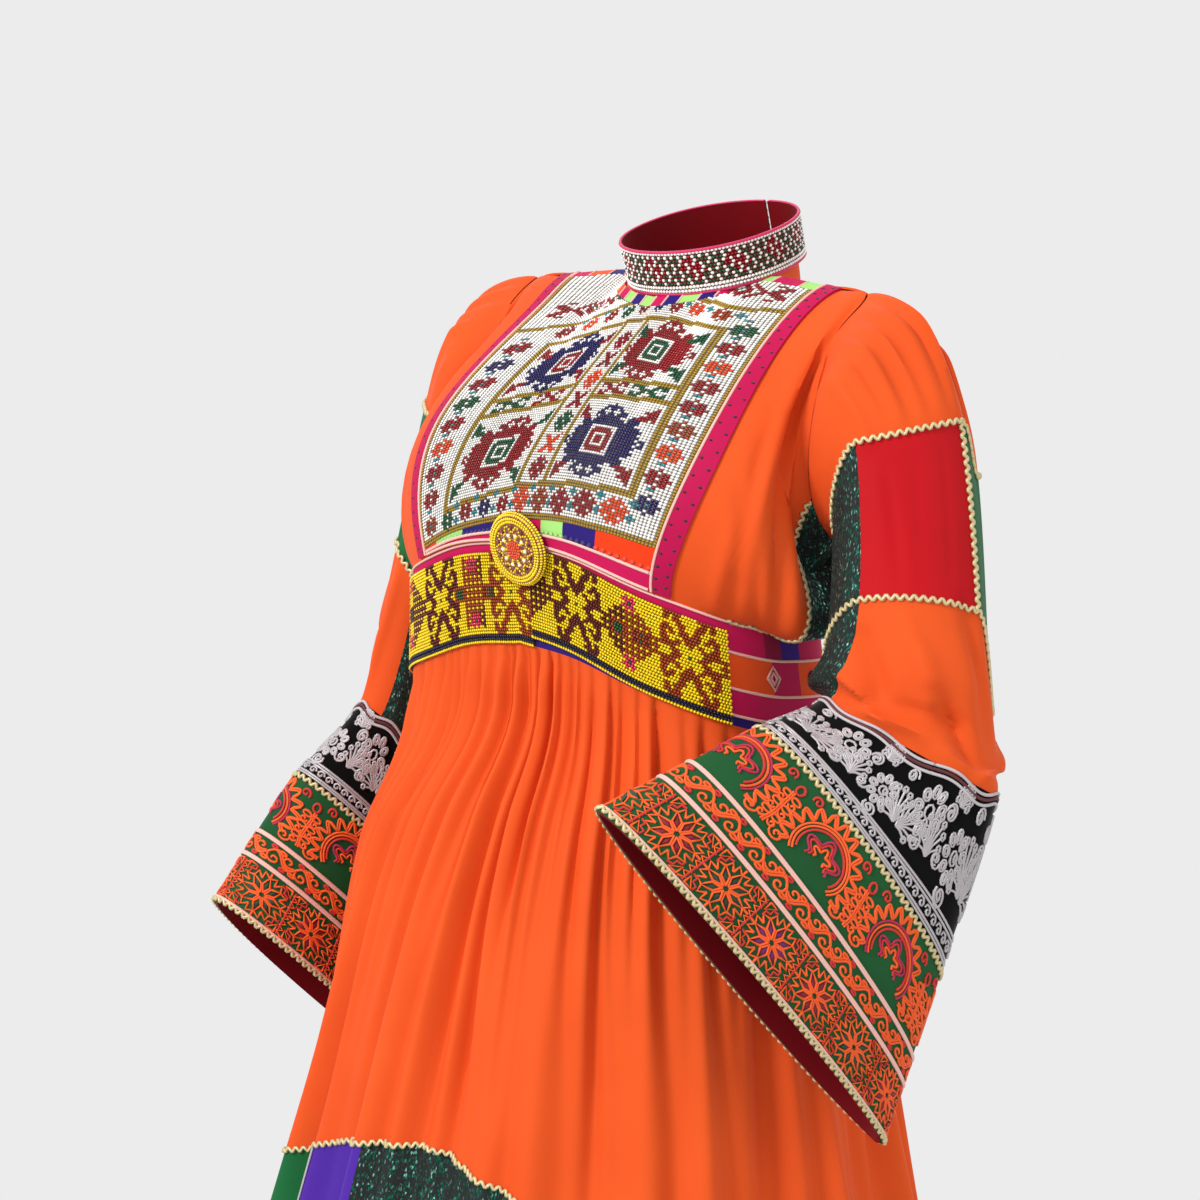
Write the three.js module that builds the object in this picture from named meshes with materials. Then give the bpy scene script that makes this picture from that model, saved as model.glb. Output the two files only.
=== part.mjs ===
// A long-sleeved Afghan dress of orange cotton, as it hangs on its wearer: a stand-up beaded collar,
// a beaded bib on the chest, a broad beaded belt in two halves with a round clasp, patched sleeves
// that open into stiff bell cuffs, and a gathered skirt with a row of patches down to the hem.
// Millimetres, +Z up, the front faces -Y and the wearer's left is +X. The origin is the centre of
// the neck base, where the wearer's shoulders carry the dress.
import * as THREE from "three";

// Driving dimensions.
const CLOTH = 1.6; // cloth wall, seam allowance and lining weight included
const STIFF = 2.4; // beaded or couched cloth on its backing
const SEAM = 0.6; // gap between pieces that are sewn edge to edge
const LAYER = 0.5; // gap between a panel and what lies on it
const COLLAR_HIGH = 31;
const BELT_HIGH = 70;
const WAISTBAND_HIGH = 78;
const BELT_STEP = 7; // the left half of the belt is closed this much higher than the right half
const WAIST_LEVEL = -300; // about where the skirt is sewn to the waistband
const PATCH_TOP = -650; // where the skirt's patches begin
const HEM_LEVEL = -1290;
const CLASP_WIDE = 56;
const CLASP_TURN = 5; // the clasp sits this many degrees to the wearer's left
const CLASP_OFF = 4.6; // its back clears the belt and the bib
const CLASP_UP = 76; // height of the clasp's centre above the waist seam

const FULL_TURN = 360;
const radians = (degrees) => (degrees * Math.PI) / 180;
const mix = (a, b, share) => a + (b - a) * share;
const clamp01 = (value) => Math.min(1, Math.max(0, value));
const smooth = (value) => clamp01(value) ** 2 * (3 - 2 * clamp01(value));

// A repeatable number from -1 to 1 for fold number k.
const uneven = (k, salt) => {
  const wave = Math.sin(k * 12.9898 + salt * 78.233) * 43758.5453;
  return 2 * (wave - Math.floor(wave)) - 1;
};

// A smooth curve through the rows of a table, read at one value of its key column.
function read(table, key, value) {
  const last = table.length - 1;
  let k = 0;
  while (k < last - 1 && value > table[k + 1][key]) k += 1;
  const before = table[Math.max(0, k - 1)];
  const from = table[k];
  const to = table[k + 1];
  const after = table[Math.min(last, k + 2)];
  const span = to[key] - from[key];
  const share = clamp01((value - from[key]) / span);
  const out = {};
  for (const column of Object.keys(from)) {
    const slopeIn = k === 0 ? to[column] - from[column]
      : ((to[column] - before[column]) / (to[key] - before[key])) * span;
    const slopeOut = k + 1 === last ? to[column] - from[column]
      : ((after[column] - from[column]) / (after[key] - from[key])) * span;
    const s2 = share * share;
    const s3 = s2 * share;
    out[column] = (2 * s3 - 3 * s2 + 1) * from[column] + (s3 - 2 * s2 + share) * slopeIn
      + (-2 * s3 + 3 * s2) * to[column] + (s3 - s2) * slopeOut;
  }
  return out;
}

// A rounded-box section: the point at one turn from the front, towards the wearer's left.
function section(turn, { x, y, wide, fore, aft, box }, z) {
  const side = Math.abs(Math.sin(radians(turn)));
  const ahead = Math.cos(radians(turn));
  const deep = ahead >= 0 ? fore : aft;
  const reach = ((side / wide) ** box + (Math.abs(ahead) / deep) ** box) ** (-1 / box);
  return new THREE.Vector3(x + reach * Math.sin(radians(turn)), y - reach * ahead, z);
}

// The waist seam dips from the front to the sides and the back. turn is 0 at the centre front.
const WAIST_LINE = [
  { turn: 0, z: -278 },
  { turn: 30, z: -286 },
  { turn: 55, z: -308 },
  { turn: 75, z: -329 },
  { turn: 90, z: -339 },
  { turn: 135, z: -349 },
  { turn: 180, z: -352 },
];
const WAIST_LOW = { x: -36, y: -68, wide: 174, fore: 102, aft: 103, box: 3 };
const WAIST_HIGH = { x: -27, y: -80, wide: 164, fore: 106, aft: 100, box: 3 };
const folded = (turn) => Math.abs(((((turn + 180) % FULL_TURN) + FULL_TURN) % FULL_TURN) - 180);
const waistLevel = (turn) => read(WAIST_LINE, "turn", folded(turn)).z;

// The band round the waist: up is its height in millimetres above the waist seam.
function waistband(turn, up) {
  const share = up / WAISTBAND_HIGH;
  const low = section(turn, WAIST_LOW, waistLevel(turn));
  return low.lerp(section(turn, WAIST_HIGH, waistLevel(turn) + WAISTBAND_HIGH), share);
}

// The bodice's top edge on the wearer's left: neckline, shoulder seam and armhole. ax, ay and az
// are how the cloth arrives there, rise and lean how it leaves the waistband, and out and sag how
// far it blouses over the waistband.
const TOP_EDGE = [
  { turn: 0, x: 0, y: -64, z: -25, ax: 0, ay: 125, az: 112, rise: 165, lean: -72, out: 0, sag: 0 },
  { turn: 14, x: 22, y: -60, z: -23, ax: 8, ay: 125, az: 106, rise: 165, lean: -72, out: 0, sag: 0 },
  { turn: 28, x: 49, y: -43, z: -18, ax: 12, ay: 125, az: 84, rise: 165, lean: -66, out: 0, sag: 0 },
  { turn: 36, x: 68, y: -11, z: -11, ax: 14, ay: 150, az: 34, rise: 165, lean: -56, out: 0, sag: 0 },
  { turn: 46, x: 125, y: -16, z: -15, ax: 24, ay: 150, az: 26, rise: 165, lean: -46, out: 2, sag: 1 },
  { turn: 51, x: 141, y: -18, z: -17, ax: 30, ay: 145, az: 27, rise: 165, lean: -40, out: 4, sag: 2 },
  { turn: 56, x: 167, y: -21, z: -19, ax: 40, ay: 130, az: 30, rise: 160, lean: -30, out: 8, sag: 4 },
  { turn: 64, x: 168, y: -60, z: -50, ax: 40, ay: 60, az: 90, rise: 120, lean: -20, out: 16, sag: 10 },
  { turn: 73, x: 169, y: -84, z: -112, ax: 40, ay: 20, az: 80, rise: 90, lean: -10, out: 24, sag: 20 },
  { turn: 82, x: 167, y: -80, z: -162, ax: 40, ay: 10, az: 60, rise: 60, lean: 0, out: 30, sag: 26 },
  { turn: 90, x: 168, y: -56, z: -192, ax: 40, ay: 0, az: 50, rise: 50, lean: 0, out: 32, sag: 22 },
  { turn: 98, x: 169, y: -26, z: -166, ax: 40, ay: -5, az: 70, rise: 70, lean: 0, out: 36, sag: 22 },
  { turn: 107, x: 171, y: 4, z: -114, ax: 40, ay: -20, az: 90, rise: 100, lean: 8, out: 34, sag: 20 },
  { turn: 116, x: 170, y: 10, z: -54, ax: 30, ay: -50, az: 100, rise: 140, lean: 14, out: 28, sag: 16 },
  { turn: 124, x: 167, y: -17, z: -19, ax: 20, ay: -120, az: 30, rise: 180, lean: 20, out: 20, sag: 12 },
  { turn: 134, x: 112, y: -11, z: -14, ax: 0, ay: -140, az: 24, rise: 200, lean: 26, out: 14, sag: 8 },
  { turn: 144, x: 68, y: -7, z: -9, ax: 0, ay: -140, az: 30, rise: 220, lean: 30, out: 12, sag: 8 },
  { turn: 152, x: 50, y: 37, z: 1, ax: 0, ay: -70, az: 110, rise: 240, lean: 30, out: 12, sag: 8 },
  { turn: 166, x: 23, y: 58, z: 7, ax: 0, ay: -50, az: 130, rise: 250, lean: 30, out: 12, sag: 8 },
  { turn: 180, x: 0, y: 63, z: 9, ax: 0, ay: -50, az: 130, rise: 250, lean: 30, out: 12, sag: 8 },
];
const RIGHT_BLOUSING = 0.25; // the wearer's right arm presses the bodice flat
const TURNS = TOP_EDGE.map((row) => row.turn);

// A row of the top edge at one turn, straight between rows where the edge has a corner.
function topRow(turn) {
  const at = folded(turn);
  const exact = TOP_EDGE.find((row) => Math.abs(row.turn - at) < 1e-9);
  return exact ?? read(TOP_EDGE, "turn", at);
}

const BLOUSE_TOP = 0.6;
const TWIST = 3.5; // the waist is turned this many degrees to the wearer's left of the shoulders
const SPREAD = 4; // the bib and the fronts widen this many degrees towards the waist
const BUST = { turn: 50, share: 0.42, out: 21, reach: 42, tall: 0.4 };

// The bodice's surface: share is 0 on the waistband and 1 at the neckline, shoulder or armhole.
function bodice(turn, share) {
  const row = topRow(turn);
  const side = ((turn + FULL_TURN * 2) % FULL_TURN) > 180 ? -1 : 1;
  const start = waistband(turn + TWIST + SPREAD * Math.sin(radians(2 * turn)), WAISTBAND_HIGH);
  const end = new THREE.Vector3(side * row.x, row.y, row.z);
  const leave = new THREE.Vector3(8 * Math.sin(radians(turn)), row.lean, row.rise);
  const arrive = new THREE.Vector3(side * row.ax, row.ay, row.az);
  const s2 = share * share;
  const s3 = s2 * share;
  const point = start.multiplyScalar(2 * s3 - 3 * s2 + 1)
    .addScaledVector(leave, s3 - 2 * s2 + share)
    .addScaledVector(end, -2 * s3 + 3 * s2)
    .addScaledVector(arrive, s3 - s2);
  const loose = side > 0 ? 1 : mix(1, RIGHT_BLOUSING, Math.abs(Math.sin(radians(turn))));
  const puff = share < BLOUSE_TOP ? Math.sin((share / BLOUSE_TOP) * Math.PI) * loose : 0;
  const beside = smooth(1 - Math.abs(folded(turn) - BUST.turn) / BUST.reach);
  const bust = BUST.out * beside * smooth(1 - Math.abs(share - BUST.share) / BUST.tall);
  point.x += (row.out * puff + bust) * Math.sin(radians(turn));
  point.y -= (row.out * puff + bust) * Math.cos(radians(turn));
  point.z -= row.sag * puff * (1 - share);
  return point;
}

// The collar stands on the neckline and leans out a little. up is its height in millimetres.
const COLLAR_FOOT = { x: 4, y: -1, wide: 64, fore: 63, aft: 63, box: 2.1 };
const COLLAR_TILT = 0.27; // the back of the neck base is higher than the front
const COLLAR_LIFT = -5; // height of the middle of the collar's foot
function collar(turn, up) {
  const foot = section(turn, COLLAR_FOOT, 0);
  const lean = 1 + 0.0006 * up;
  const z = foot.y * COLLAR_TILT + COLLAR_LIFT + up;
  return new THREE.Vector3(foot.x * lean, foot.y * lean + up * -0.3, z);
}

// Sections of each sleeve below its armhole: the centre, then the half axis to the outer side (o)
// and the half axis to the front (f). drop and back are how much lower the seams hang on the inner
// side and behind. The last rows are the cuff, which hangs below the forearm.
const LEFT_SLEEVE = [
  { at: 0.0, x: 168, y: -36, z: -100, ox: 4, oy: 20, oz: 84, fx: -4, fy: -50, fz: -12, drop: 8, back: 0 },
  { at: 0.1, x: 190, y: -38, z: -78, ox: 17, oy: 10, oz: 54, fx: -4, fy: -58, fz: -8, drop: 60, back: 10 },
  { at: 0.2, x: 208, y: -40, z: -86, ox: 27, oy: 10, oz: 38, fx: -5, fy: -56, fz: -6, drop: 70, back: 30 },
  { at: 0.34, x: 226, y: -46, z: -113, ox: 40, oy: 10, oz: 10, fx: -5, fy: -50, fz: -4, drop: 75, back: 42 },
  { at: 0.62, x: 241, y: -59, z: -246, ox: 55, oy: 8, oz: 12, fx: -5, fy: -49, fz: 20, drop: 37, back: 62 },
  { at: 0.82, x: 243, y: -68, z: -294, ox: 66, oy: 2, oz: 6, fx: -14, fy: -50, fz: 16, drop: 6, back: 46 },
  { at: 1.0, x: 264, y: -84, z: -330, ox: 34, oy: -14, oz: -6, fx: -46, fy: -36, fz: 32, drop: 0, back: 0 },
  { at: 1.3, x: 241, y: -124, z: -404, ox: 37, oy: -15, oz: 4, fx: -41, fy: -49, fz: 91, drop: 0, back: 0 },
  { at: 2.0, x: 215, y: -206, z: -485, ox: 32, oy: -13, oz: 3, fx: -50, fy: -93, fz: 127, drop: 0, back: 0 },
];
const RIGHT_SLEEVE = [
  { at: 0.0, x: -168, y: -36, z: -100, ox: -4, oy: 20, oz: 84, fx: 4, fy: -50, fz: -12, drop: 8, back: 0 },
  { at: 0.1, x: -190, y: -38, z: -80, ox: -17, oy: 10, oz: 52, fx: 4, fy: -56, fz: -8, drop: 60, back: 0 },
  { at: 0.2, x: -206, y: -40, z: -90, ox: -26, oy: 10, oz: 34, fx: 5, fy: -54, fz: -6, drop: 60, back: 0 },
  { at: 0.34, x: -220, y: -46, z: -122, ox: -36, oy: 10, oz: 10, fx: 5, fy: -46, fz: -4, drop: 60, back: 0 },
  { at: 0.62, x: -244, y: -60, z: -246, ox: -30, oy: 8, oz: 14, fx: 4, fy: -42, fz: 10, drop: 30, back: 0 },
  { at: 0.82, x: -252, y: -74, z: -322, ox: -30, oy: 4, oz: 8, fx: 4, fy: -40, fz: 20, drop: 10, back: 0 },
  { at: 1.0, x: -263, y: -84, z: -394, ox: -28, oy: 5, oz: 3, fx: 2, fy: -40, fz: 38, drop: 0, back: 0 },
  { at: 1.3, x: -294, y: -94, z: -474, ox: -38, oy: 8, oz: 3, fx: -6, fy: -64, fz: 60, drop: 0, back: 0 },
  { at: 2.0, x: -336, y: -118, z: -596, ox: -48, oy: 10, oz: 2, fx: -14, fy: -84, fz: 79, drop: 0, back: 0 },
];
const ARMHOLE_FROM = 56;
const ARMHOLE_SPAN = 68; // degrees of the top edge that the armhole takes
const CAP_END = 0.16; // where the sleeve has left the armhole's own shape
const CAP_GATHERS = 22;
const CAP_GATHER_DEEP = 3;

// A sleeve: round is 0 on the outer side, 90 in front, 180 inside and 270 behind, and along is 0 at
// the armhole, 1 at the cuff's top edge and 2 at its hem.
function sleeveOf(table, side) {
  return (round, along) => {
    const row = read(table, "at", along);
    const turned = ((round % FULL_TURN) + FULL_TURN) % FULL_TURN;
    const c = Math.cos(radians(round));
    const s = Math.sin(radians(round));
    const behind = smooth((turned - 225) / 60) * smooth((FULL_TURN - turned) / 30);
    const lower = row.drop * Math.max(0, -c) ** 1.5 + row.back * behind;
    const tube = new THREE.Vector3(
      row.x + c * row.ox + s * row.fx,
      row.y + c * row.oy + s * row.fy,
      row.z + c * row.oz + s * row.fz - lower,
    );
    const leaving = smooth(along / CAP_END);
    const top = clamp01((c + 0.2) / 1.2);
    const gather = Math.cos(radians(round) * CAP_GATHERS) * CAP_GATHER_DEEP * top;
    const fades = Math.sin(Math.PI * clamp01(along / 0.34)) * gather;
    tube.z += fades * 0.8;
    tube.x += fades * 0.6 * side;
    if (leaving >= 1) return tube;
    const edge = topRow(ARMHOLE_FROM + (turned / FULL_TURN) * ARMHOLE_SPAN);
    const hole = new THREE.Vector3(side * (edge.x + 1.6), edge.y, edge.z);
    return hole.lerp(tube, leaving);
  };
}
const leftSleeve = sleeveOf(LEFT_SLEEVE, 1);
const rightSleeve = sleeveOf(RIGHT_SLEEVE, -1);

// Sections of the skirt, by how far each is down from the origin.
const SKIRT = [
  { down: 320, x: -34, y: -68, wide: 172, fore: 102, aft: 98, box: 3 },
  { down: 400, x: -34, y: -76, wide: 186, fore: 136, aft: 128, box: 2.7 },
  { down: 480, x: -34, y: -82, wide: 202, fore: 164, aft: 158, box: 2.4 },
  { down: 640, x: -33, y: -86, wide: 230, fore: 208, aft: 204, box: 2.1 },
  { down: 860, x: -40, y: -92, wide: 280, fore: 258, aft: 256, box: 2 },
  { down: 1290, x: -46, y: -96, wide: 376, fore: 360, aft: 358, box: 2 },
];
const GATHERS = 36;
const SIDE_DIP = 44; // the skirt's widths hang lower at the sides than in front
const FOLD_DEEP = 26; // depth of a main fold at the hem
const GATHER_DEEP = 6; // depth of a gather just under the belt

// How far the gathers and folds lift the cloth: the lasting folds grow as the others die away.
function foldLift(turn, drop) {
  let lift = 0;
  for (let k = 0; k < GATHERS; k += 1) {
    const lasts = k % 3 !== 1;
    const place = (k + 0.25 * uneven(k, 1)) * (FULL_TURN / GATHERS) + 3 * uneven(k, 2) * drop;
    const width = lasts ? mix(5.2, 6.6, smooth(drop * 1.6)) : 5.2;
    const away = folded(turn - place) / (width * (1 + 0.2 * uneven(k, 3)));
    if (away >= 1) continue;
    const started = smooth(drop / 0.035);
    const grown = mix(GATHER_DEEP, FOLD_DEEP * (1 + 0.35 * uneven(k, 4)), smooth(drop * 1.5));
    const dying = GATHER_DEEP * (1 - smooth((drop - 0.12) / (0.3 + 0.15 * uneven(k, 5))));
    lift += 0.5 * (1 + Math.cos(Math.PI * away)) * started * (lasts ? grown : dying);
  }
  return lift;
}

// The skirt: drop is 0 at the waist seam and 1 at the hem.
function skirt(turn, drop) {
  const top = waistLevel(turn);
  const z = mix(top, HEM_LEVEL, drop) - SIDE_DIP * Math.sin(Math.PI * drop) * smooth(folded(turn) / 60);
  const hang = smooth(drop / 0.12);
  const row = read(SKIRT, "down", -z);
  const loose = section(turn, row, z);
  const tight = section(turn, WAIST_LOW, z);
  const point = tight.lerp(loose, hang);
  const lift = foldLift(turn, drop) - 0.35 * FOLD_DEEP * smooth(drop * 1.5);
  point.x += lift * Math.sin(radians(turn));
  point.y -= lift * Math.cos(radians(turn));
  return point;
}

// The outward normal of a surface, by its slopes.
function outward(surface, u, v, facing, steps) {
  const alongU = surface(u + steps.u, v).sub(surface(u - steps.u, v));
  const alongV = surface(u, v + steps.v).sub(surface(u, v - steps.v));
  return alongU.cross(alongV).multiplyScalar(facing).normalize();
}

// A closed wall of cloth over the grid lines us and vs of a surface, from inner to outer above it.
function wall({ surface, facing = 1, steps }, us, vs, inner, outer) {
  const wraps = Math.abs(us[us.length - 1] - us[0] - FULL_TURN) < 1e-9;
  const columns = wraps ? us.slice(0, -1) : us;
  const points = vs.map((v) => columns.map((u) => surface(u, v)));
  const normals = vs.map((v) => columns.map((u) => outward(surface, u, v, facing, steps)));
  const lastRow = vs.length - 1;
  const lastColumn = columns.length - 1;
  const drawIn = (edge, next) => edge.clone().lerp(next, SEAM / 2 / edge.distanceTo(next));
  columns.forEach((_, j) => {
    const foot = drawIn(points[0][j], points[1][j]);
    const head = drawIn(points[lastRow][j], points[lastRow - 1][j]);
    points[0][j] = foot;
    points[lastRow][j] = head;
  });
  if (!wraps) {
    points.forEach((row) => {
      const near = drawIn(row[0], row[1]);
      const far = drawIn(row[lastColumn], row[lastColumn - 1]);
      row[0] = near;
      row[lastColumn] = far;
    });
  }
  const position = [];
  for (const height of [inner, outer]) {
    points.forEach((row, i) => row.forEach((point, j) => {
      position.push(...point.clone().addScaledVector(normals[i][j], height).toArray());
    }));
  }
  const width = columns.length;
  const layer = width * vs.length;
  const index = [];
  const quad = (a, b, c, d) => {
    if (facing > 0) index.push(a, b, c, a, c, d);
    else index.push(a, c, b, a, d, c);
  };
  const spans = wraps ? width : width - 1;
  for (let i = 0; i < lastRow; i += 1) {
    for (let j = 0; j < spans; j += 1) {
      const a = i * width + j;
      const b = i * width + ((j + 1) % width);
      quad(layer + a, layer + b, layer + b + width, layer + a + width);
      quad(a, a + width, b + width, b);
    }
  }
  for (let j = 0; j < spans; j += 1) {
    const next = (j + 1) % width;
    const head = lastRow * width;
    quad(j, next, layer + next, layer + j);
    quad(head + next, head + j, layer + head + j, layer + head + next);
  }
  if (!wraps) {
    for (let i = 0; i < lastRow; i += 1) {
      const a = i * width;
      quad(a + width, a, layer + a, layer + a + width);
      quad(a + lastColumn, a + width + lastColumn, layer + a + width + lastColumn, layer + a + lastColumn);
    }
  }
  const geometry = new THREE.BufferGeometry();
  geometry.setAttribute("position", new THREE.Float32BufferAttribute(position, 3));
  geometry.setIndex(index);
  geometry.computeVertexNormals();
  return geometry;
}

// The finishes, by the cloth each piece is cut from.
const finish = (color, roughness = 0.85, metalness = 0) =>
  new THREE.MeshStandardMaterial({ color, roughness, metalness, side: THREE.FrontSide });
const ORANGE = finish(0xf4602a);
const GREEN = finish(0x1f6b3f);
const RED = finish(0xdc1c26);
const PURPLE = finish(0x5a2ca8);
const GLITTER = finish(0x10231d, 0.5, 0.2);
const MAGENTA = finish(0xc4124f);
const BEADWORK = finish(0xe9e6df, 0.4);
const COLLAR_BEADS = finish(0xb9c4b4, 0.4);
const YELLOW_BEADS = finish(0xe8c80c, 0.35);
const PATCHED = finish(0x5a3d8c);
const EMBROIDERED = finish(0xb5302f);
const VELVET = finish(0x151314, 0.95);
const STITCHED = finish(0x2f5a30);
const LINING = finish(0x7c0f1a);
const GILT = finish(0xb5852c, 0.4, 0.6);

const dress = new THREE.Group();
function add(name, geometry, material) {
  const mesh = new THREE.Mesh(geometry, material);
  mesh.name = name;
  dress.add(mesh);
  return mesh;
}

const between = (from, to, count) => Array.from({ length: count + 1 }, (_, k) => mix(from, to, k / count));
const mirrored = (list) => list.map((value) => -value).reverse();
const TORSO = { surface: bodice, steps: { u: 0.5, v: 0.004 } };
const BAND = { surface: waistband, steps: { u: 0.5, v: 1 } };
const NECK = { surface: collar, steps: { u: 0.5, v: 1 } };
const SKIRTING = { surface: skirt, facing: -1, steps: { u: 0.3, v: 0.002 } };

// Turns of the bodice's grid lines. The bib and its borders end on some of them.
const SIDE_GORE = 82; // the front ends here and the glittering side gore begins
const BACK_GORE = 98;
const BIB_EDGE = 46;
const BORDER_EDGE = 51;
const FRONT_HALF = [0, 7, 14, 21, 28, 36, 41, BIB_EDGE, BORDER_EDGE, 56, 60, 64, 73, SIDE_GORE];
const FRONT_TURNS = [...mirrored(FRONT_HALF).slice(0, -1), ...FRONT_HALF];
const BACK_HALF = [BACK_GORE + 0.4, ...TURNS.filter((turn) => turn > BACK_GORE && turn < 180)];
const BACK_TURNS = [...BACK_HALF, 180, ...BACK_HALF.map((turn) => FULL_TURN - turn).reverse()];
const BIB_TOP = 0.93;
const YOKE_TOP = 0.985;
const STRIP_LOW = 0.012;
const BIB_LOW = 0.075;
const RISE = [0.0015, STRIP_LOW, BIB_LOW, 0.2, 0.36, 0.54, 0.72, 0.85, BIB_TOP, 1];
const PLAIN_RISE = RISE.filter((share) => share !== STRIP_LOW && share !== BIB_TOP);

function addBodice() {
  add("bodice_front", wall(TORSO, FRONT_TURNS, RISE, -CLOTH, 0), ORANGE);
  add("bodice_back", wall(TORSO, BACK_TURNS, PLAIN_RISE, -CLOTH, 0), ORANGE);
  const gore = [SIDE_GORE, 86, 90, 94, BACK_GORE];
  add("side_gore_left", wall(TORSO, gore, PLAIN_RISE, -CLOTH, 0), GLITTER);
  add("side_gore_right", wall(TORSO, mirrored(gore), PLAIN_RISE, -CLOTH, 0), GLITTER);
}

function addBib() {
  const on = LAYER;
  const inside = FRONT_TURNS.filter((turn) => Math.abs(turn) <= BIB_EDGE);
  const chest = RISE.filter((share) => share >= BIB_LOW && share <= BIB_TOP);
  const edge = RISE.filter((share) => share >= STRIP_LOW);
  add("bib", wall(TORSO, inside, chest, on, on + STIFF), BEADWORK);
  add("bib_border_left", wall(TORSO, [BIB_EDGE, BORDER_EDGE], edge, on, on + CLOTH), MAGENTA);
  add("bib_border_right", wall(TORSO, [-BORDER_EDGE, -BIB_EDGE], edge, on, on + CLOTH), MAGENTA);
  add("patched_strip", wall(TORSO, inside, [STRIP_LOW, BIB_LOW], on, on + CLOTH), PATCHED);
  const shoulder = [BIB_TOP, YOKE_TOP];
  add("yoke_strip", wall(TORSO, inside, shoulder, on, on + CLOTH), PATCHED);
}

function addCollar() {
  add("collar", wall(NECK, between(-176, 176, 40), [0, COLLAR_HIGH], 0, STIFF), COLLAR_BEADS);
}

const WAIST_STEP = 7.5;
const BELT_MEET = 7.5;
const BELT_LEFT_END = 72;
const BELT_RIGHT_END = -90;
function addWaist() {
  const around = between(-180, 180, FULL_TURN / WAIST_STEP);
  add("waistband", wall(BAND, around, [0, WAISTBAND_HIGH / 2, WAISTBAND_HIGH], -CLOTH, 0), EMBROIDERED);
  const raised = (surface, shift) => (turn, up) => surface(turn, up + shift(turn));
  const step = (turn) => BELT_STEP * (1 - smooth(turn / BELT_LEFT_END));
  const stepped = { surface: raised(waistband, step), steps: BAND.steps };
  const rows = [1, BELT_HIGH / 2, BELT_HIGH];
  const steps = Math.floor((BELT_LEFT_END - BELT_MEET) / WAIST_STEP);
  const left = [...between(BELT_MEET, BELT_MEET + steps * WAIST_STEP, steps), BELT_LEFT_END];
  const right = between(BELT_RIGHT_END, BELT_MEET, (BELT_MEET - BELT_RIGHT_END) / WAIST_STEP);
  add("belt_left", wall(stepped, left, rows, LAYER, LAYER + STIFF), YELLOW_BEADS);
  add("belt_right", wall(BAND, right, rows, LAYER, LAYER + STIFF), YELLOW_BEADS);
}

function addClasp() {
  const half = CLASP_WIDE / 2;
  const profile = [
    [0, 0], [half - 2, 0], [half, 2], [half - 2, 5], [half - 6, 6], [half - 10, 4], [8, 4.5], [5, 7], [0, 8],
  ].map(([x, y]) => new THREE.Vector2(x, y));
  const clasp = add("clasp", new THREE.LatheGeometry(profile, 24), GILT);
  const seat = waistband(CLASP_TURN, CLASP_UP);
  const normal = outward(waistband, CLASP_TURN, CLASP_UP, 1, BAND.steps);
  clasp.quaternion.setFromUnitVectors(new THREE.Vector3(0, 1, 0), normal);
  clasp.position.copy(seat).addScaledVector(normal, CLASP_OFF);
}

// The bands of a sleeve from the armhole to the hem, by where each one ends along the sleeve.
const PATCH_FROM = 0.34;
const PATCH_TO = 0.62;
const CUFF_ROWS = [
  { name: "velvet", from: 1.0, to: 1.3, material: VELVET },
  { name: "green", from: 1.3, to: 1.6, material: STITCHED },
  { name: "vine", from: 1.6, to: 1.73, material: STITCHED },
  { name: "star", from: 1.73, to: 2.0, material: STITCHED },
];
const ARM_SIDES = 24;
const CUFF_SIDES = 24;

function addSleeve(side, surface, facing, patches) {
  const tube = { surface, facing, steps: { u: 1, v: 0.004 } };
  const round = between(0, FULL_TURN, ARM_SIDES);
  const capRows = [0, 0.05, 0.1, 0.16, 0.24, PATCH_FROM];
  add(`sleeve_cap_${side}`, wall(tube, round, capRows, -CLOTH, 0), ORANGE);
  for (const { name, from, to, material } of patches) {
    const columns = between(from, to, Math.round((to - from) / (FULL_TURN / ARM_SIDES)));
    add(`sleeve_${name}_${side}`, wall(tube, columns, between(PATCH_FROM, PATCH_TO, 3), -CLOTH, 0), material);
  }
  add(`sleeve_lower_${side}`, wall(tube, round, between(PATCH_TO, 1, 4), -CLOTH, 0), ORANGE);
  const hem = between(0, FULL_TURN, CUFF_SIDES);
  for (const { name, from, to, material } of CUFF_ROWS) {
    const rows = name === "velvet" ? [from, (from + to) / 2, to] : [from, to];
    add(`cuff_${name}_${side}`, wall(tube, hem, rows, -CLOTH, 0), material);
  }
  const lined = CUFF_ROWS.map(({ to }) => to);
  add(`cuff_lining_${side}`, wall(tube, hem, lined, -2 * CLOTH - LAYER, -CLOTH - LAYER), LINING);
}

const PATCHES_LEFT = [
  { name: "red", from: 0, to: 90, material: RED },
  { name: "glitter", from: 90, to: 210, material: GLITTER },
  { name: "green", from: 210, to: 360, material: GREEN },
];
const PATCHES_RIGHT = [
  { name: "green", from: 0, to: 90, material: GREEN },
  { name: "glitter", from: 90, to: 210, material: GLITTER },
  { name: "red", from: 210, to: 360, material: RED },
];

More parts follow.
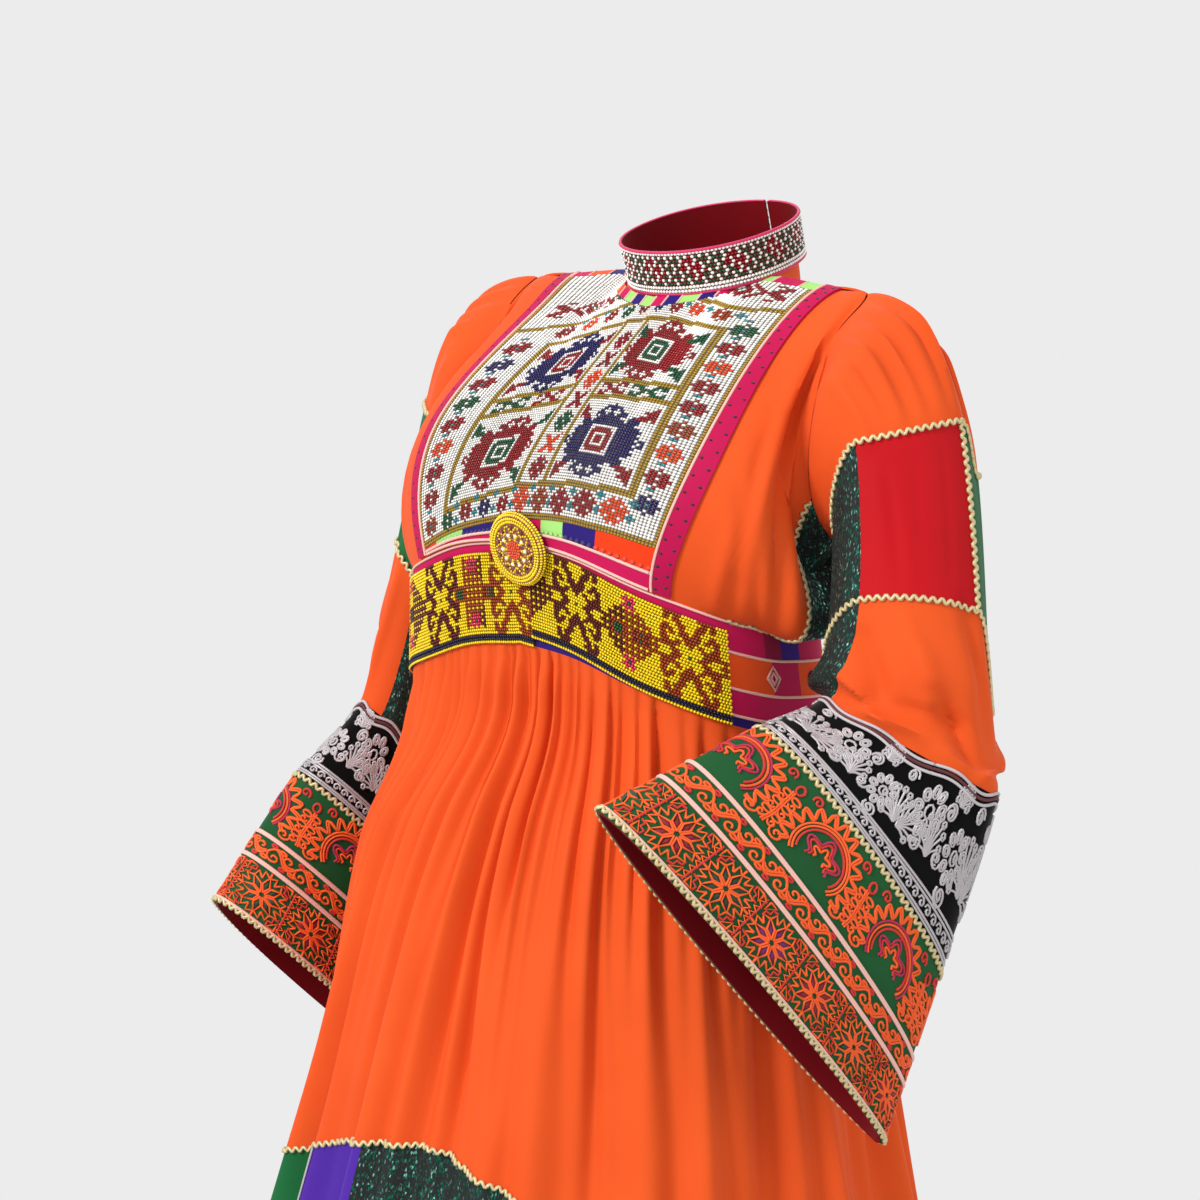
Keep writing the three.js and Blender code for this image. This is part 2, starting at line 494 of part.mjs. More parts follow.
// The skirt's four widths of cloth, then the row of patches below them.
const SKIRT_STEP = 2.5;
const SKIRT_QUARTERS = [
  { name: "front_left", from: 0 },
  { name: "back_left", from: 90 },
  { name: "back_right", from: 180 },
  { name: "front_right", from: 270 },
];
const HEM_PATCHES = [
  { name: "glitter_front", from: -10, material: GLITTER },
  { name: "orange_left", from: 30, material: ORANGE },
  { name: "red_left", from: 57.5, material: RED },
  { name: "green_left", from: 82.5, material: GREEN },
  { name: "purple_left", from: 107.5, material: PURPLE },
  { name: "glitter_back", from: 135, material: GLITTER },
  { name: "orange_back", from: 170, material: ORANGE },
  { name: "green_back", from: 200, material: GREEN },
  { name: "purple_back", from: 225, material: PURPLE },
  { name: "glitter_right", from: 252.5, material: GLITTER },
  { name: "red_right", from: 285, material: RED },
  { name: "green_right", from: 310, material: GREEN },
  { name: "purple_right", from: 327.5, material: PURPLE },
];

function addSkirt() {
  const seam = (PATCH_TOP - WAIST_LEVEL) / (HEM_LEVEL - WAIST_LEVEL);
  const upper = [0, 0.025, 0.08, 0.18, seam];
  for (const { name, from } of SKIRT_QUARTERS) {
    const columns = between(from, from + 90, 90 / SKIRT_STEP);
    add(`skirt_${name}`, wall(SKIRTING, columns, upper, -CLOTH, 0), ORANGE);
  }
  HEM_PATCHES.forEach(({ name, from, material }, k) => {
    const to = k + 1 < HEM_PATCHES.length ? HEM_PATCHES[k + 1].from : HEM_PATCHES[0].from + FULL_TURN;
    const columns = between(from, to, (to - from) / SKIRT_STEP);
    add(`hem_${name}`, wall(SKIRTING, columns, between(seam, 1, 2), -CLOTH, 0), material);
  });
}

addCollar();
addBodice();
addBib();
addWaist();
addClasp();
addSleeve("left", leftSleeve, 1, PATCHES_LEFT);
addSleeve("right", rightSleeve, -1, PATCHES_RIGHT);
addSkirt();

export default dress;
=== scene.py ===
"""An Afghan dress as its wearer carries it: a beaded collar, bib and belt, patched sleeves that open
into stiff embroidered bell cuffs, and a gathered skirt with a row of patches down to the hem.
Shapes are worked out in millimetres, as in the part's source, and become metres in the meshes.
The front faces -Y and the wearer's left is +X."""

import math

import bpy
import numpy as np
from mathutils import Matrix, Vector


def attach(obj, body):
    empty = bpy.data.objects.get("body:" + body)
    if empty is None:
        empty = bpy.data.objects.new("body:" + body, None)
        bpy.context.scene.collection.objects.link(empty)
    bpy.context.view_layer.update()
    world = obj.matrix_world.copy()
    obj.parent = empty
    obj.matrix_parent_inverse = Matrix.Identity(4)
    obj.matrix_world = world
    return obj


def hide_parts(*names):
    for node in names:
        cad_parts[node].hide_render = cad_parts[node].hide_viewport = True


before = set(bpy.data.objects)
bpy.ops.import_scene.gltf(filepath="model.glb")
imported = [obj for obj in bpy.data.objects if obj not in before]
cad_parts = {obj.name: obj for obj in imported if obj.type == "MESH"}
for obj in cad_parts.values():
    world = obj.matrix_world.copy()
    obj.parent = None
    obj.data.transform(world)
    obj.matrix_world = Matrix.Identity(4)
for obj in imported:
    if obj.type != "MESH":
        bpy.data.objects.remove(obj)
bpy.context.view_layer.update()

# Millimetres, degrees for turns, and shares of a surface from 0 to 1.
MM = 0.001
FULL_TURN = 360
CLOTH = 1.6
STIFF = 2.4
LAYER = 0.5
COLLAR_HIGH = 31
BELT_HIGH = 70
WAISTBAND_HIGH = 78
BELT_STEP = 7
BELT_LEFT_END = 72
PATCH_TOP = -650
HEM_LEVEL = -1290
CLASP_TURN = 5
CLASP_OFF = 4.6
CLASP_UP = 76
BIB_LOW = 0.075
BIB_TOP = 0.93
YOKE_TOP = 0.985
STRIP_LOW = 0.012
STRIP_THICK = 1.2
BIB_HALF = 46
BORDER_WIDE = 5
GORE_FROM = 82
GORE_TO = 98
PATCH_FROM = 0.34
PATCH_TO = 0.62
GROUND_TOP = LAYER + STIFF - 1
BEAD_LIFT = 0.3


def clamp01(value):
    return np.clip(value, 0, 1)


def mix(a, b, share):
    return a + (b - a) * share


def smooth(value):
    return clamp01(value) ** 2 * (3 - 2 * clamp01(value))


def hermite(s, start, leave, end, arrive):
    """A smooth run from start to end, with the slopes leave and arrive at its ends."""
    return (
        (2 * s**3 - 3 * s**2 + 1) * start
        + (s**3 - 2 * s**2 + s) * leave
        + (-2 * s**3 + 3 * s**2) * end
        + (s**3 - s**2) * arrive
    )


def uneven(k, salt):
    """A repeatable number from -1 to 1 for fold number k."""
    wave = math.sin(k * 12.9898 + salt * 78.233) * 43758.5453
    return 2 * (wave - math.floor(wave)) - 1


def folded(turn):
    """The turn from the centre front, the same on both sides, from 0 to 180."""
    return np.abs((np.asarray(turn, float) + 180) % FULL_TURN - 180)


def rows_of(columns, *rows):
    """A table as one array for each named column."""
    return dict(zip(columns.split(), np.array(rows, float).T))


def read(table, key, value):
    """A smooth curve through the rows of a table, read at values of its key column."""
    at = table[key]
    last = len(at) - 1
    value = np.asarray(value, float)
    k = np.clip(np.searchsorted(at, value, side="left") - 1, 0, last - 1)
    earlier = np.maximum(k - 1, 0)
    later = np.minimum(k + 2, last)
    span = at[k + 1] - at[k]
    s = clamp01((value - at[k]) / span)
    out = {}
    for name, column in table.items():
        step = column[k + 1] - column[k]
        back = (column[k + 1] - column[earlier]) / (at[k + 1] - at[earlier]) * span
        ahead = (column[later] - column[k]) / (at[later] - at[k]) * span
        slope_in = np.where(k == 0, step, back)
        slope_out = np.where(k + 1 == last, step, ahead)
        out[name] = hermite(s, column[k], slope_in, column[k + 1], slope_out)
    return out


def points(x, y, z):
    return np.stack(np.broadcast_arrays(x, y, z), -1).astype(float)


def section(turn, row, z):
    """The point of a rounded-box section at one turn from the front, towards the wearer's left."""
    angle = np.radians(turn)
    ahead = np.cos(angle)
    deep = np.where(ahead >= 0, row["fore"], row["aft"])
    side_part = (np.abs(np.sin(angle)) / row["wide"]) ** row["box"]
    reach = (side_part + (np.abs(ahead) / deep) ** row["box"]) ** (-1 / row["box"])
    return points(row["x"] + reach * np.sin(angle), row["y"] - reach * ahead, z)


WAIST_LINE = rows_of(
    "turn z", (0, -278), (30, -286), (55, -308), (75, -329), (90, -339), (135, -349), (180, -352)
)
WAIST_LOW = {"x": -36, "y": -68, "wide": 174, "fore": 102, "aft": 103, "box": 3}
WAIST_HIGH = {"x": -27, "y": -80, "wide": 164, "fore": 106, "aft": 100, "box": 3}


def waist_level(turn):
    return read(WAIST_LINE, "turn", folded(turn))["z"]


def waistband(turn, up):
    """The band round the waist: up is its height in millimetres above the waist seam."""
    level = waist_level(turn)
    low = section(turn, WAIST_LOW, level)
    high = section(turn, WAIST_HIGH, level + WAISTBAND_HIGH)
    return mix(low, high, np.asarray(up, float)[..., None] / WAISTBAND_HIGH)


TOP_EDGE = rows_of(
    "turn x y z ax ay az rise lean out sag",
    (0, 0, -64, -25, 0, 125, 112, 165, -72, 0, 0),
    (14, 22, -60, -23, 8, 125, 106, 165, -72, 0, 0),
    (28, 49, -43, -18, 12, 125, 84, 165, -66, 0, 0),
    (36, 68, -11, -11, 14, 150, 34, 165, -56, 0, 0),
    (46, 125, -16, -15, 24, 150, 26, 165, -46, 2, 1),
    (51, 141, -18, -17, 30, 145, 27, 165, -40, 4, 2),
    (56, 167, -21, -19, 40, 130, 30, 160, -30, 8, 4),
    (64, 168, -60, -50, 40, 60, 90, 120, -20, 16, 10),
    (73, 169, -84, -112, 40, 20, 80, 90, -10, 24, 20),
    (82, 167, -80, -162, 40, 10, 60, 60, 0, 30, 26),
    (90, 168, -56, -192, 40, 0, 50, 50, 0, 32, 22),
    (98, 169, -26, -166, 40, -5, 70, 70, 0, 36, 22),
    (107, 171, 4, -114, 40, -20, 90, 100, 8, 34, 20),
    (116, 170, 10, -54, 30, -50, 100, 140, 14, 28, 16),
    (124, 167, -17, -19, 20, -120, 30, 180, 20, 20, 12),
    (134, 112, -11, -14, 0, -140, 24, 200, 26, 14, 8),
    (144, 68, -7, -9, 0, -140, 30, 220, 30, 12, 8),
    (152, 50, 37, 1, 0, -70, 110, 240, 30, 12, 8),
    (166, 23, 58, 7, 0, -50, 130, 250, 30, 12, 8),
    (180, 0, 63, 9, 0, -50, 130, 250, 30, 12, 8),
)
RIGHT_BLOUSING = 0.25
BLOUSE_TOP = 0.6
TWIST = 3.5
SPREAD = 4
BUST = {"turn": 50, "share": 0.42, "out": 21, "reach": 42, "tall": 0.4}


def bodice(turn, share):
    """The bodice: share is 0 on the waistband and 1 at the neckline, shoulder or armhole."""
    turn, share = np.broadcast_arrays(np.asarray(turn, float), np.asarray(share, float))
    row = read(TOP_EDGE, "turn", folded(turn))
    side = np.where((turn + 2 * FULL_TURN) % FULL_TURN > 180, -1, 1)
    sine, cosine = np.sin(np.radians(turn)), np.cos(np.radians(turn))
    start = waistband(turn + TWIST + SPREAD * np.sin(np.radians(2 * turn)), WAISTBAND_HIGH)
    end = points(side * row["x"], row["y"], row["z"])
    leave = points(8 * sine, row["lean"], row["rise"])
    arrive = points(side * row["ax"], row["ay"], row["az"])
    place = hermite(share[..., None], start, leave, end, arrive)
    loose = np.where(side > 0, 1, mix(1, RIGHT_BLOUSING, np.abs(sine)))
    puff = np.where(share < BLOUSE_TOP, np.sin(share / BLOUSE_TOP * np.pi) * loose, 0)
    beside = smooth(1 - np.abs(folded(turn) - BUST["turn"]) / BUST["reach"])
    bust = BUST["out"] * beside * smooth(1 - np.abs(share - BUST["share"]) / BUST["tall"])
    out = row["out"] * puff + bust
    return place + points(out * sine, -out * cosine, -row["sag"] * puff * (1 - share))


COLLAR_FOOT = {"x": 4, "y": -1, "wide": 64, "fore": 63, "aft": 63, "box": 2.1}
COLLAR_TILT = 0.27
COLLAR_LIFT = -5
COLLAR_FLARE = 0.0006
COLLAR_LEAN = 0.3


def collar(turn, up):
    """The stand-up collar: up is its height in millimetres."""
    foot = section(turn, COLLAR_FOOT, 0)
    flare = 1 + COLLAR_FLARE * up
    z = foot[..., 1] * COLLAR_TILT + COLLAR_LIFT + up
    return points(foot[..., 0] * flare, foot[..., 1] * flare - COLLAR_LEAN * up, z)


SLEEVE_COLUMNS = "at x y z ox oy oz fx fy fz drop back"
LEFT_SLEEVE = rows_of(
    SLEEVE_COLUMNS,
    (0.0, 168, -36, -100, 4, 20, 84, -4, -50, -12, 8, 0),
    (0.1, 190, -38, -78, 17, 10, 54, -4, -58, -8, 60, 10),
    (0.2, 208, -40, -86, 27, 10, 38, -5, -56, -6, 70, 30),
    (0.34, 226, -46, -113, 40, 10, 10, -5, -50, -4, 75, 42),
    (0.62, 241, -59, -246, 55, 8, 12, -5, -49, 20, 37, 62),
    (0.82, 243, -68, -294, 66, 2, 6, -14, -50, 16, 6, 46),
    (1.0, 264, -84, -330, 34, -14, -6, -46, -36, 32, 0, 0),
    (1.3, 241, -124, -404, 37, -15, 4, -41, -49, 91, 0, 0),
    (2.0, 215, -206, -485, 32, -13, 3, -50, -93, 127, 0, 0),
)
RIGHT_SLEEVE = rows_of(
    SLEEVE_COLUMNS,
    (0.0, -168, -36, -100, -4, 20, 84, 4, -50, -12, 8, 0),
    (0.1, -190, -38, -80, -17, 10, 52, 4, -56, -8, 60, 0),
    (0.2, -206, -40, -90, -26, 10, 34, 5, -54, -6, 60, 0),
    (0.34, -220, -46, -122, -36, 10, 10, 5, -46, -4, 60, 0),
    (0.62, -244, -60, -246, -30, 8, 14, 4, -42, 10, 30, 0),
    (0.82, -252, -74, -322, -30, 4, 8, 4, -40, 20, 10, 0),
    (1.0, -263, -84, -394, -28, 5, 3, 2, -40, 38, 0, 0),
    (1.3, -294, -94, -474, -38, 8, 3, -6, -64, 60, 0, 0),
    (2.0, -336, -118, -596, -48, 10, 2, -14, -84, 79, 0, 0),
)
ARMHOLE_FROM = 56
ARMHOLE_SPAN = 68
CAP_END = 0.16
CAP_GATHERS = 22
CAP_GATHER_DEEP = 3


def sleeve_of(table, side):
    """A sleeve: around is 0 outside, 90 in front, 180 inside and 270 behind; along is 0 at the
    armhole, 1 at the cuff's top edge and 2 at its hem."""

    def sleeve(around, along):
        around, along = np.broadcast_arrays(np.asarray(around, float), np.asarray(along, float))
        row = read(table, "at", along)
        turned = around % FULL_TURN
        c, s = np.cos(np.radians(around)), np.sin(np.radians(around))
        behind = smooth((turned - 225) / 60) * smooth((FULL_TURN - turned) / 30)
        lower = row["drop"] * np.maximum(0, -c) ** 1.5 + row["back"] * behind
        gather = np.cos(np.radians(around) * CAP_GATHERS) * CAP_GATHER_DEEP * clamp01((c + 0.2) / 1.2)
        fades = np.sin(np.pi * clamp01(along / PATCH_FROM)) * gather
        tube = points(
            row["x"] + c * row["ox"] + s * row["fx"] + fades * 0.6 * side,
            row["y"] + c * row["oy"] + s * row["fy"],
            row["z"] + c * row["oz"] + s * row["fz"] - lower + fades * 0.8,
        )
        edge = read(TOP_EDGE, "turn", ARMHOLE_FROM + turned / FULL_TURN * ARMHOLE_SPAN)
        hole = points(side * (edge["x"] + CLOTH), edge["y"], edge["z"])
        return mix(hole, tube, smooth(along / CAP_END)[..., None])

    return sleeve


SKIRT = rows_of(
    "down x y wide fore aft box",
    (320, -34, -68, 172, 102, 98, 3),
    (400, -34, -76, 186, 136, 128, 2.7),
    (480, -34, -82, 202, 164, 158, 2.4),
    (640, -33, -86, 230, 208, 204, 2.1),
    (860, -40, -92, 280, 258, 256, 2),
    (1290, -46, -96, 376, 360, 358, 2),
)
GATHERS = 36
SIDE_DIP = 44
FOLD_DEEP = 26
FOLD_WIDE = 5.2
LOW_FOLD_WIDE = 6.6
FOLD_START = 0.035
GATHER_DEEP = 6
TIGHT_TO = 0.12


def fold_lift(turn, drop):
    """How far the gathers and folds lift the cloth: the lasting folds grow as the others die away."""
    lift = 0
    for k in range(GATHERS):
        lasts = k % 3 != 1
        place = (k + 0.25 * uneven(k, 1)) * (FULL_TURN / GATHERS) + 3 * uneven(k, 2) * drop
        width = mix(FOLD_WIDE, LOW_FOLD_WIDE, smooth(drop * 1.6)) if lasts else FOLD_WIDE
        away = clamp01(folded(turn - place) / (width * (1 + 0.2 * uneven(k, 3))))
        started = smooth(drop / FOLD_START)
        grown = mix(GATHER_DEEP, FOLD_DEEP * (1 + 0.35 * uneven(k, 4)), smooth(drop * 1.5))
        dying = GATHER_DEEP * (1 - smooth((drop - TIGHT_TO) / (0.3 + 0.15 * uneven(k, 5))))
        lift = lift + 0.5 * (1 + np.cos(np.pi * away)) * started * (grown if lasts else dying)
    return lift


def skirt(turn, drop):
    """The skirt: drop is 0 at the waist seam and 1 at the hem."""
    turn, drop = np.broadcast_arrays(np.asarray(turn, float), np.asarray(drop, float))
    dip = SIDE_DIP * np.sin(np.pi * drop) * smooth(folded(turn) / 60)
    z = mix(waist_level(turn), HEM_LEVEL, drop) - dip
    loose = section(turn, read(SKIRT, "down", -z), z)
    tight = section(turn, WAIST_LOW, z)
    place = mix(tight, loose, smooth(drop / TIGHT_TO)[..., None])
    lift = fold_lift(turn, drop) - 0.35 * FOLD_DEEP * smooth(drop * 1.5)
    return place + points(lift * np.sin(np.radians(turn)), -lift * np.cos(np.radians(turn)), 0 * z)


class Side:
    """One face of a surface: its points, its outward normals, and points raised off it."""

    def __init__(self, surface, facing=1, step=(0.5, 0.004)):
        self.surface, self.facing, self.step = surface, facing, step

    def normal(self, u, v):
        du, dv = self.step
        along_u = self.surface(u + du, v) - self.surface(u - du, v)
        along_v = self.surface(u, v + dv) - self.surface(u, v - dv)
        out = np.cross(along_u, along_v) * self.facing
        return out / np.linalg.norm(out, axis=-1, keepdims=True)

    def raised(self, u, v, height):
        u, v = np.broadcast_arrays(np.asarray(u, float), np.asarray(v, float))
        return self.surface(u, v) + self.normal(u, v) * np.asarray(height, float)[..., None]


torso = Side(bodice)
band = Side(waistband, step=(0.5, 1))
neck = Side(collar, step=(0.5, 1))
arms = {
    name: Side(sleeve_of(table, side), side, (1, 0.004))
    for name, table, side in (("left", LEFT_SLEEVE, 1), ("right", RIGHT_SLEEVE, -1))
}


def belt_step(turn):
    """How much higher the left half of the belt is closed."""
    return BELT_STEP * (1 - smooth(np.asarray(turn, float) / BELT_LEFT_END))


stepped = Side(lambda turn, up: waistband(turn, up + belt_step(turn)), step=(0.5, 1))


def linear(colour):
    """An sRGB hex colour as the linear values that a shader takes."""
    parts = [int(colour[k : k + 2], 16) / 255 for k in (1, 3, 5)]
    return [p / 12.92 if p <= 0.04045 else ((p + 0.055) / 1.055) ** 2.4 for p in parts] + [1.0]


def add_node(tree, kind, inputs=None, **settings):
    """Adds a node with its settings; an input takes a value, or a link where it is a socket."""
    made = tree.nodes.new(kind)
    for name, value in settings.items():
        setattr(made, name, value)
    for name, value in (inputs or {}).items():
        if isinstance(value, bpy.types.NodeSocket):
            tree.links.new(value, made.inputs[name])
        else:
            made.inputs[name].default_value = value
    return made


def new_finish(name):
    """A material with only its output, and its node tree."""
    finish = bpy.data.materials.new(name)
    finish.use_nodes = True
    finish.node_tree.nodes.clear()
    return finish, finish.node_tree


def close_finish(tree, **inputs):
    """Joins the shader's inputs to the material's output."""
    named = {name.replace("_", " "): value for name, value in inputs.items()}
    shader = add_node(tree, "ShaderNodeBsdfPrincipled", named)
    add_node(tree, "ShaderNodeOutputMaterial", {"Surface": shader.outputs["BSDF"]})


def colour_range(tree, factor, low, high, start=0.3, end=0.7):
    """A smooth run from one sRGB colour to another as the factor goes from start to end."""
    ramp = add_node(tree, "ShaderNodeValToRGB", {"Fac": factor})
    ramp.color_ramp.elements[0].position, ramp.color_ramp.elements[1].position = start, end
    ramp.color_ramp.elements[0].color = linear(low)
    ramp.color_ramp.elements[1].color = linear(high)
    return ramp.outputs["Color"]


def noise(tree, scale, detail):
    """Noise from 0 to 1 over the object's own coordinates."""
    place = add_node(tree, "ShaderNodeTexCoord").outputs["Object"]
    settings = {"Vector": place, "Scale": scale, "Detail": detail}
    return add_node(tree, "ShaderNodeTexNoise", settings).outputs["Fac"]


def ranged(tree, value, to=(0, 1), start=0, end=1):
    """The value, moved from the range start to end into the range that to gives."""
    limits = {"Value": value, "From Min": start, "From Max": end, "To Min": to[0], "To Max": to[1]}
    return add_node(tree, "ShaderNodeMapRange", limits).outputs["Result"]


def bumped(tree, height, deep, strength):
    """The normal over a height that is deep metres from its lowest to its highest."""
    settings = {"Height": height, "Distance": deep, "Strength": strength}
    return add_node(tree, "ShaderNodeBump", settings).outputs["Normal"]


def lacquered(name, low, high):
    """Lacquered metal: a glossy dark ground that lets gilt show in small flecks."""
    finish, tree = new_finish(name)
    colour = colour_range(tree, noise(tree, 420, 2.0), low, high, 0.5, 0.62)
    close_finish(tree, Base_Color=colour, Roughness=0.3, Coat_Weight=0.5)
    return finish


WEAVE_PITCH = 0.0009
WEAVE_DEEP = 0.00005


def weave_height(tree):
    """Crossed threads as a height from 0 to 1; a wave node repeats every pi / (10 * scale)."""
    uv = add_node(tree, "ShaderNodeUVMap", uv_map="cloth").outputs["UV"]
    wave = {"Vector": uv, "Scale": math.pi / (10 * WEAVE_PITCH), "Distortion": 0.6, "Detail": 1.0}
    across, along = (
        add_node(tree, "ShaderNodeTexWave", wave, bands_direction=way).outputs["Fac"] for way in ("X", "Y")
    )
    return add_node(tree, "ShaderNodeMath", {0: across, 1: along}, operation="MULTIPLY").outputs[0]


def woven(name, low=None, high=None, rough=(0.6, 0.75), sheen=0.05):
    """Plain woven cloth. Its real threads are about 0.3 mm apart, too fine to show, so they are
    drawn 0.9 mm apart; the dye is a little uneven. With no colours of its own, the cloth takes the
    tint that is painted on it."""
    finish, tree = new_finish(name)
    dye = noise(tree, 9, 3.0)
    if low:
        colour = colour_range(tree, dye, low, high)
    else:
        colour = add_node(tree, "ShaderNodeAttribute", attribute_name="tint").outputs["Color"]
    close_finish(
        tree,
        Base_Color=colour,
        Roughness=ranged(tree, dye, rough, 0.3, 0.7),
        Normal=bumped(tree, weave_height(tree), WEAVE_DEEP, 0.5),
        Sheen_Weight=sheen,
        Sheen_Roughness=0.4,
        Specular_IOR_Level=0.1,
    )
    return finish


def glittered(name):
    """Black cloth with short lurex threads that glint teal, green and silver. The threads are
    0.2 mm wide and are drawn 1 mm wide so that they show."""
    finish, tree = new_finish(name)
    uv = add_node(tree, "ShaderNodeUVMap", uv_map="cloth").outputs["UV"]
    threads = add_node(tree, "ShaderNodeMapping", {"Vector": uv, "Scale": (950, 480, 1)}).outputs["Vector"]
    cells = add_node(tree, "ShaderNodeTexVoronoi", {"Vector": threads, "Scale": 1.0})
    parts = add_node(tree, "ShaderNodeSeparateColor", {"Color": cells.outputs["Color"]})
    glint = ranged(tree, parts.outputs["Red"], start=0.66, end=0.86)
    hue = add_node(tree, "ShaderNodeValToRGB", {"Fac": parts.outputs["Green"]})
    hue.color_ramp.elements[0].color = linear("#0A4A3A")
    hue.color_ramp.elements[1].color = linear("#9FE0D4")
    hue.color_ramp.elements.new(0.75).color = linear("#1E7C62")
    shown = add_node(tree, "ShaderNodeMix", {"Factor": glint}, data_type="RGBA")
    tree.links.new(hue.outputs["Color"], shown.inputs[7])
    shown.inputs[6].default_value = linear("#060909")
    close_finish(
        tree,
        Base_Color=shown.outputs[2],
        Metallic=glint,
        Roughness=ranged(tree, glint, (0.8, 0.3)),
        Normal=bumped(tree, parts.outputs["Blue"], 0.0004, 0.8),
    )
    return finish


finishes = {
    "orange": woven("orange_cotton", "#D44C1A", "#DC5420"),
    "green": woven("green_cotton", "#12562C", "#1A6436"),
    "red": woven("red_cotton", "#AE0A14", "#BC101A", rough=(0.5, 0.62)),
    "purple": woven("purple_cotton", "#45228E", "#5228A0"),
    "magenta": woven("magenta_cotton", "#A80C44", "#B8104C"),
    "glitter": glittered("glitter_cloth"),
    "lining": woven("red_lining", "#64060E", "#760812", rough=(0.5, 0.65)),
    "velvet": woven("black_velvet", "#040404", "#080707", rough=(0.9, 0.95), sheen=0.2),
    "stitched": woven("stitched_green", "#184A26", "#205830"),
    "patched": woven("patched_cotton"),
    # The ground under the bib's white beads is a darkened copy of their colour: painted shade in the gaps
    # between the beads.
    "white": woven("bead_ground", "#6E665C", "#7E766C"),
    # The ground under the belt's yellow beads is a darkened copy of their colour: painted shade in the gaps
    # between the beads.
    "yellow": woven("belt_ground", "#4A3C04", "#5C4A06"),
}


SHARP_FROM = 50


def quads_mesh(name, places, quads, corner_uv):
    """A mesh of quads from points in millimetres, with the cloth's own flat coordinates."""
    mesh = bpy.data.meshes.new(name)
    mesh.from_pydata((places * MM).tolist(), [], quads.tolist())
    layer = mesh.uv_layers.new(name="cloth")
    layer.data.foreach_set("uv", (corner_uv * MM).astype(np.float32).ravel())
    mesh.polygons.foreach_set("use_smooth", np.ones(len(mesh.polygons), bool))
    mesh.set_sharp_from_angle(angle=math.radians(SHARP_FROM))
    return mesh


def arc(places, axis):
    """Distance run along one axis of a grid of points, from its first row or column."""
    steps = np.linalg.norm(np.diff(places, axis=axis), axis=-1)
    return np.insert(np.cumsum(steps, axis=axis), 0, 0, axis=axis)


BEAD_COLOURS = {
    "w": "#F8F5F0",
    "r": "#940A16",
    "n": "#1A1258",
    "g": "#0E5230",
    "o": "#E04A1A",
    "t": "#2E8490",
    "k": "#A68422",
    "y": "#F4D60A",
    "m": "#5E0A14",
    "b": "#9A3A10",
    "p": "#D8305A",
    "d": "#14123A",
}
BEAD_TINTS = {key: linear(colour) for key, colour in BEAD_COLOURS.items()}


def turned_shape(name, profile, sides):
    """A small closed shape turned about Z from (radius, height) pairs; its ends are on the axis."""
    rings = [(r, z) for r, z in profile if r > 0]
    angles = np.arange(sides) / sides * 2 * np.pi
    spots = [(0, 0, profile[0][1])]
    for r, z in rings:
        spots += [(r * math.cos(a), r * math.sin(a), z) for a in angles]
    spots.append((0, 0, profile[-1][1]))
    faces = []
    for j in range(sides):
        after = (j + 1) % sides
        faces.append((0, 1 + after, 1 + j))
        for k in range(len(rings) - 1):
            low = 1 + k * sides
            faces.append((low + j, low + after, low + sides + after, low + sides + j))
        top = 1 + (len(rings) - 1) * sides
        faces.append((top + j, top + after, len(spots) - 1))
    mesh = bpy.data.meshes.new(name)
    mesh.from_pydata(spots, [], faces)
    mesh.polygons.foreach_set("use_smooth", np.ones(len(faces), bool))
    return bpy.data.objects.new(name, mesh)


def new_tree(name, **inputs):
    """A Geometry Nodes tree with named inputs; returns the tree and its group input."""
    tree = bpy.data.node_groups.new(name, "GeometryNodeTree")
    tree.interface.new_socket("Geometry", in_out="INPUT", socket_type="NodeSocketGeometry")
    for label, kind in inputs.items():
        tree.interface.new_socket(label.replace("_", " "), in_out="INPUT", socket_type=f"NodeSocket{kind}")
    tree.interface.new_socket("Geometry", in_out="OUTPUT", socket_type="NodeSocketGeometry")
    return tree, add_node(tree, "NodeGroupInput")


def named(tree, attribute, kind="FLOAT_VECTOR"):
    return add_node(tree, "GeometryNodeInputNamedAttribute", {"Name": attribute}, data_type=kind).outputs[0]


def bead_setting():
    """Sets one small shape on every point, by the point's own out, run and size."""
    tree, given = new_tree("set_beads", Bead="Object", Unevenness="Float", Seed="Int", Finish="Material")
    shape = add_node(tree, "GeometryNodeObjectInfo", {"Object": given.outputs["Bead"]}).outputs["Geometry"]
    stand = add_node(
        tree,
        "FunctionNodeAxesToRotation",
        {"Primary Axis": named(tree, "out"), "Secondary Axis": named(tree, "run")},
        primary_axis="Z",
        secondary_axis="X",
    ).outputs["Rotation"]
    less = add_node(
        tree, "ShaderNodeMath", {0: 1.0, 1: given.outputs["Unevenness"]}, operation="SUBTRACT"
    ).outputs[0]
    part = add_node(
        tree, "FunctionNodeRandomValue", {"Min": less, "Max": 1.0, "Seed": given.outputs["Seed"]}
    )
    tree.links.new(less, part.inputs[2])
    tree.links.new(given.outputs["Seed"], part.inputs["Seed"])
    size = add_node(tree, "ShaderNodeVectorMath", {0: named(tree, "size")}, operation="SCALE")
    tree.links.new(part.outputs[1], size.inputs["Scale"])
    set_on = add_node(
        tree,
        "GeometryNodeInstanceOnPoints",
        {"Points": given.outputs[0], "Instance": shape, "Rotation": stand, "Scale": size.outputs[0]},
    )
    whole = add_node(tree, "GeometryNodeRealizeInstances", {"Geometry": set_on.outputs[0]})
    dressed = add_node(
        tree, "GeometryNodeSetMaterial", {"Geometry": whole.outputs[0], "Material": given.outputs["Finish"]}
    )
    add_node(tree, "NodeGroupOutput", {"Geometry": dressed.outputs[0]})
    return tree


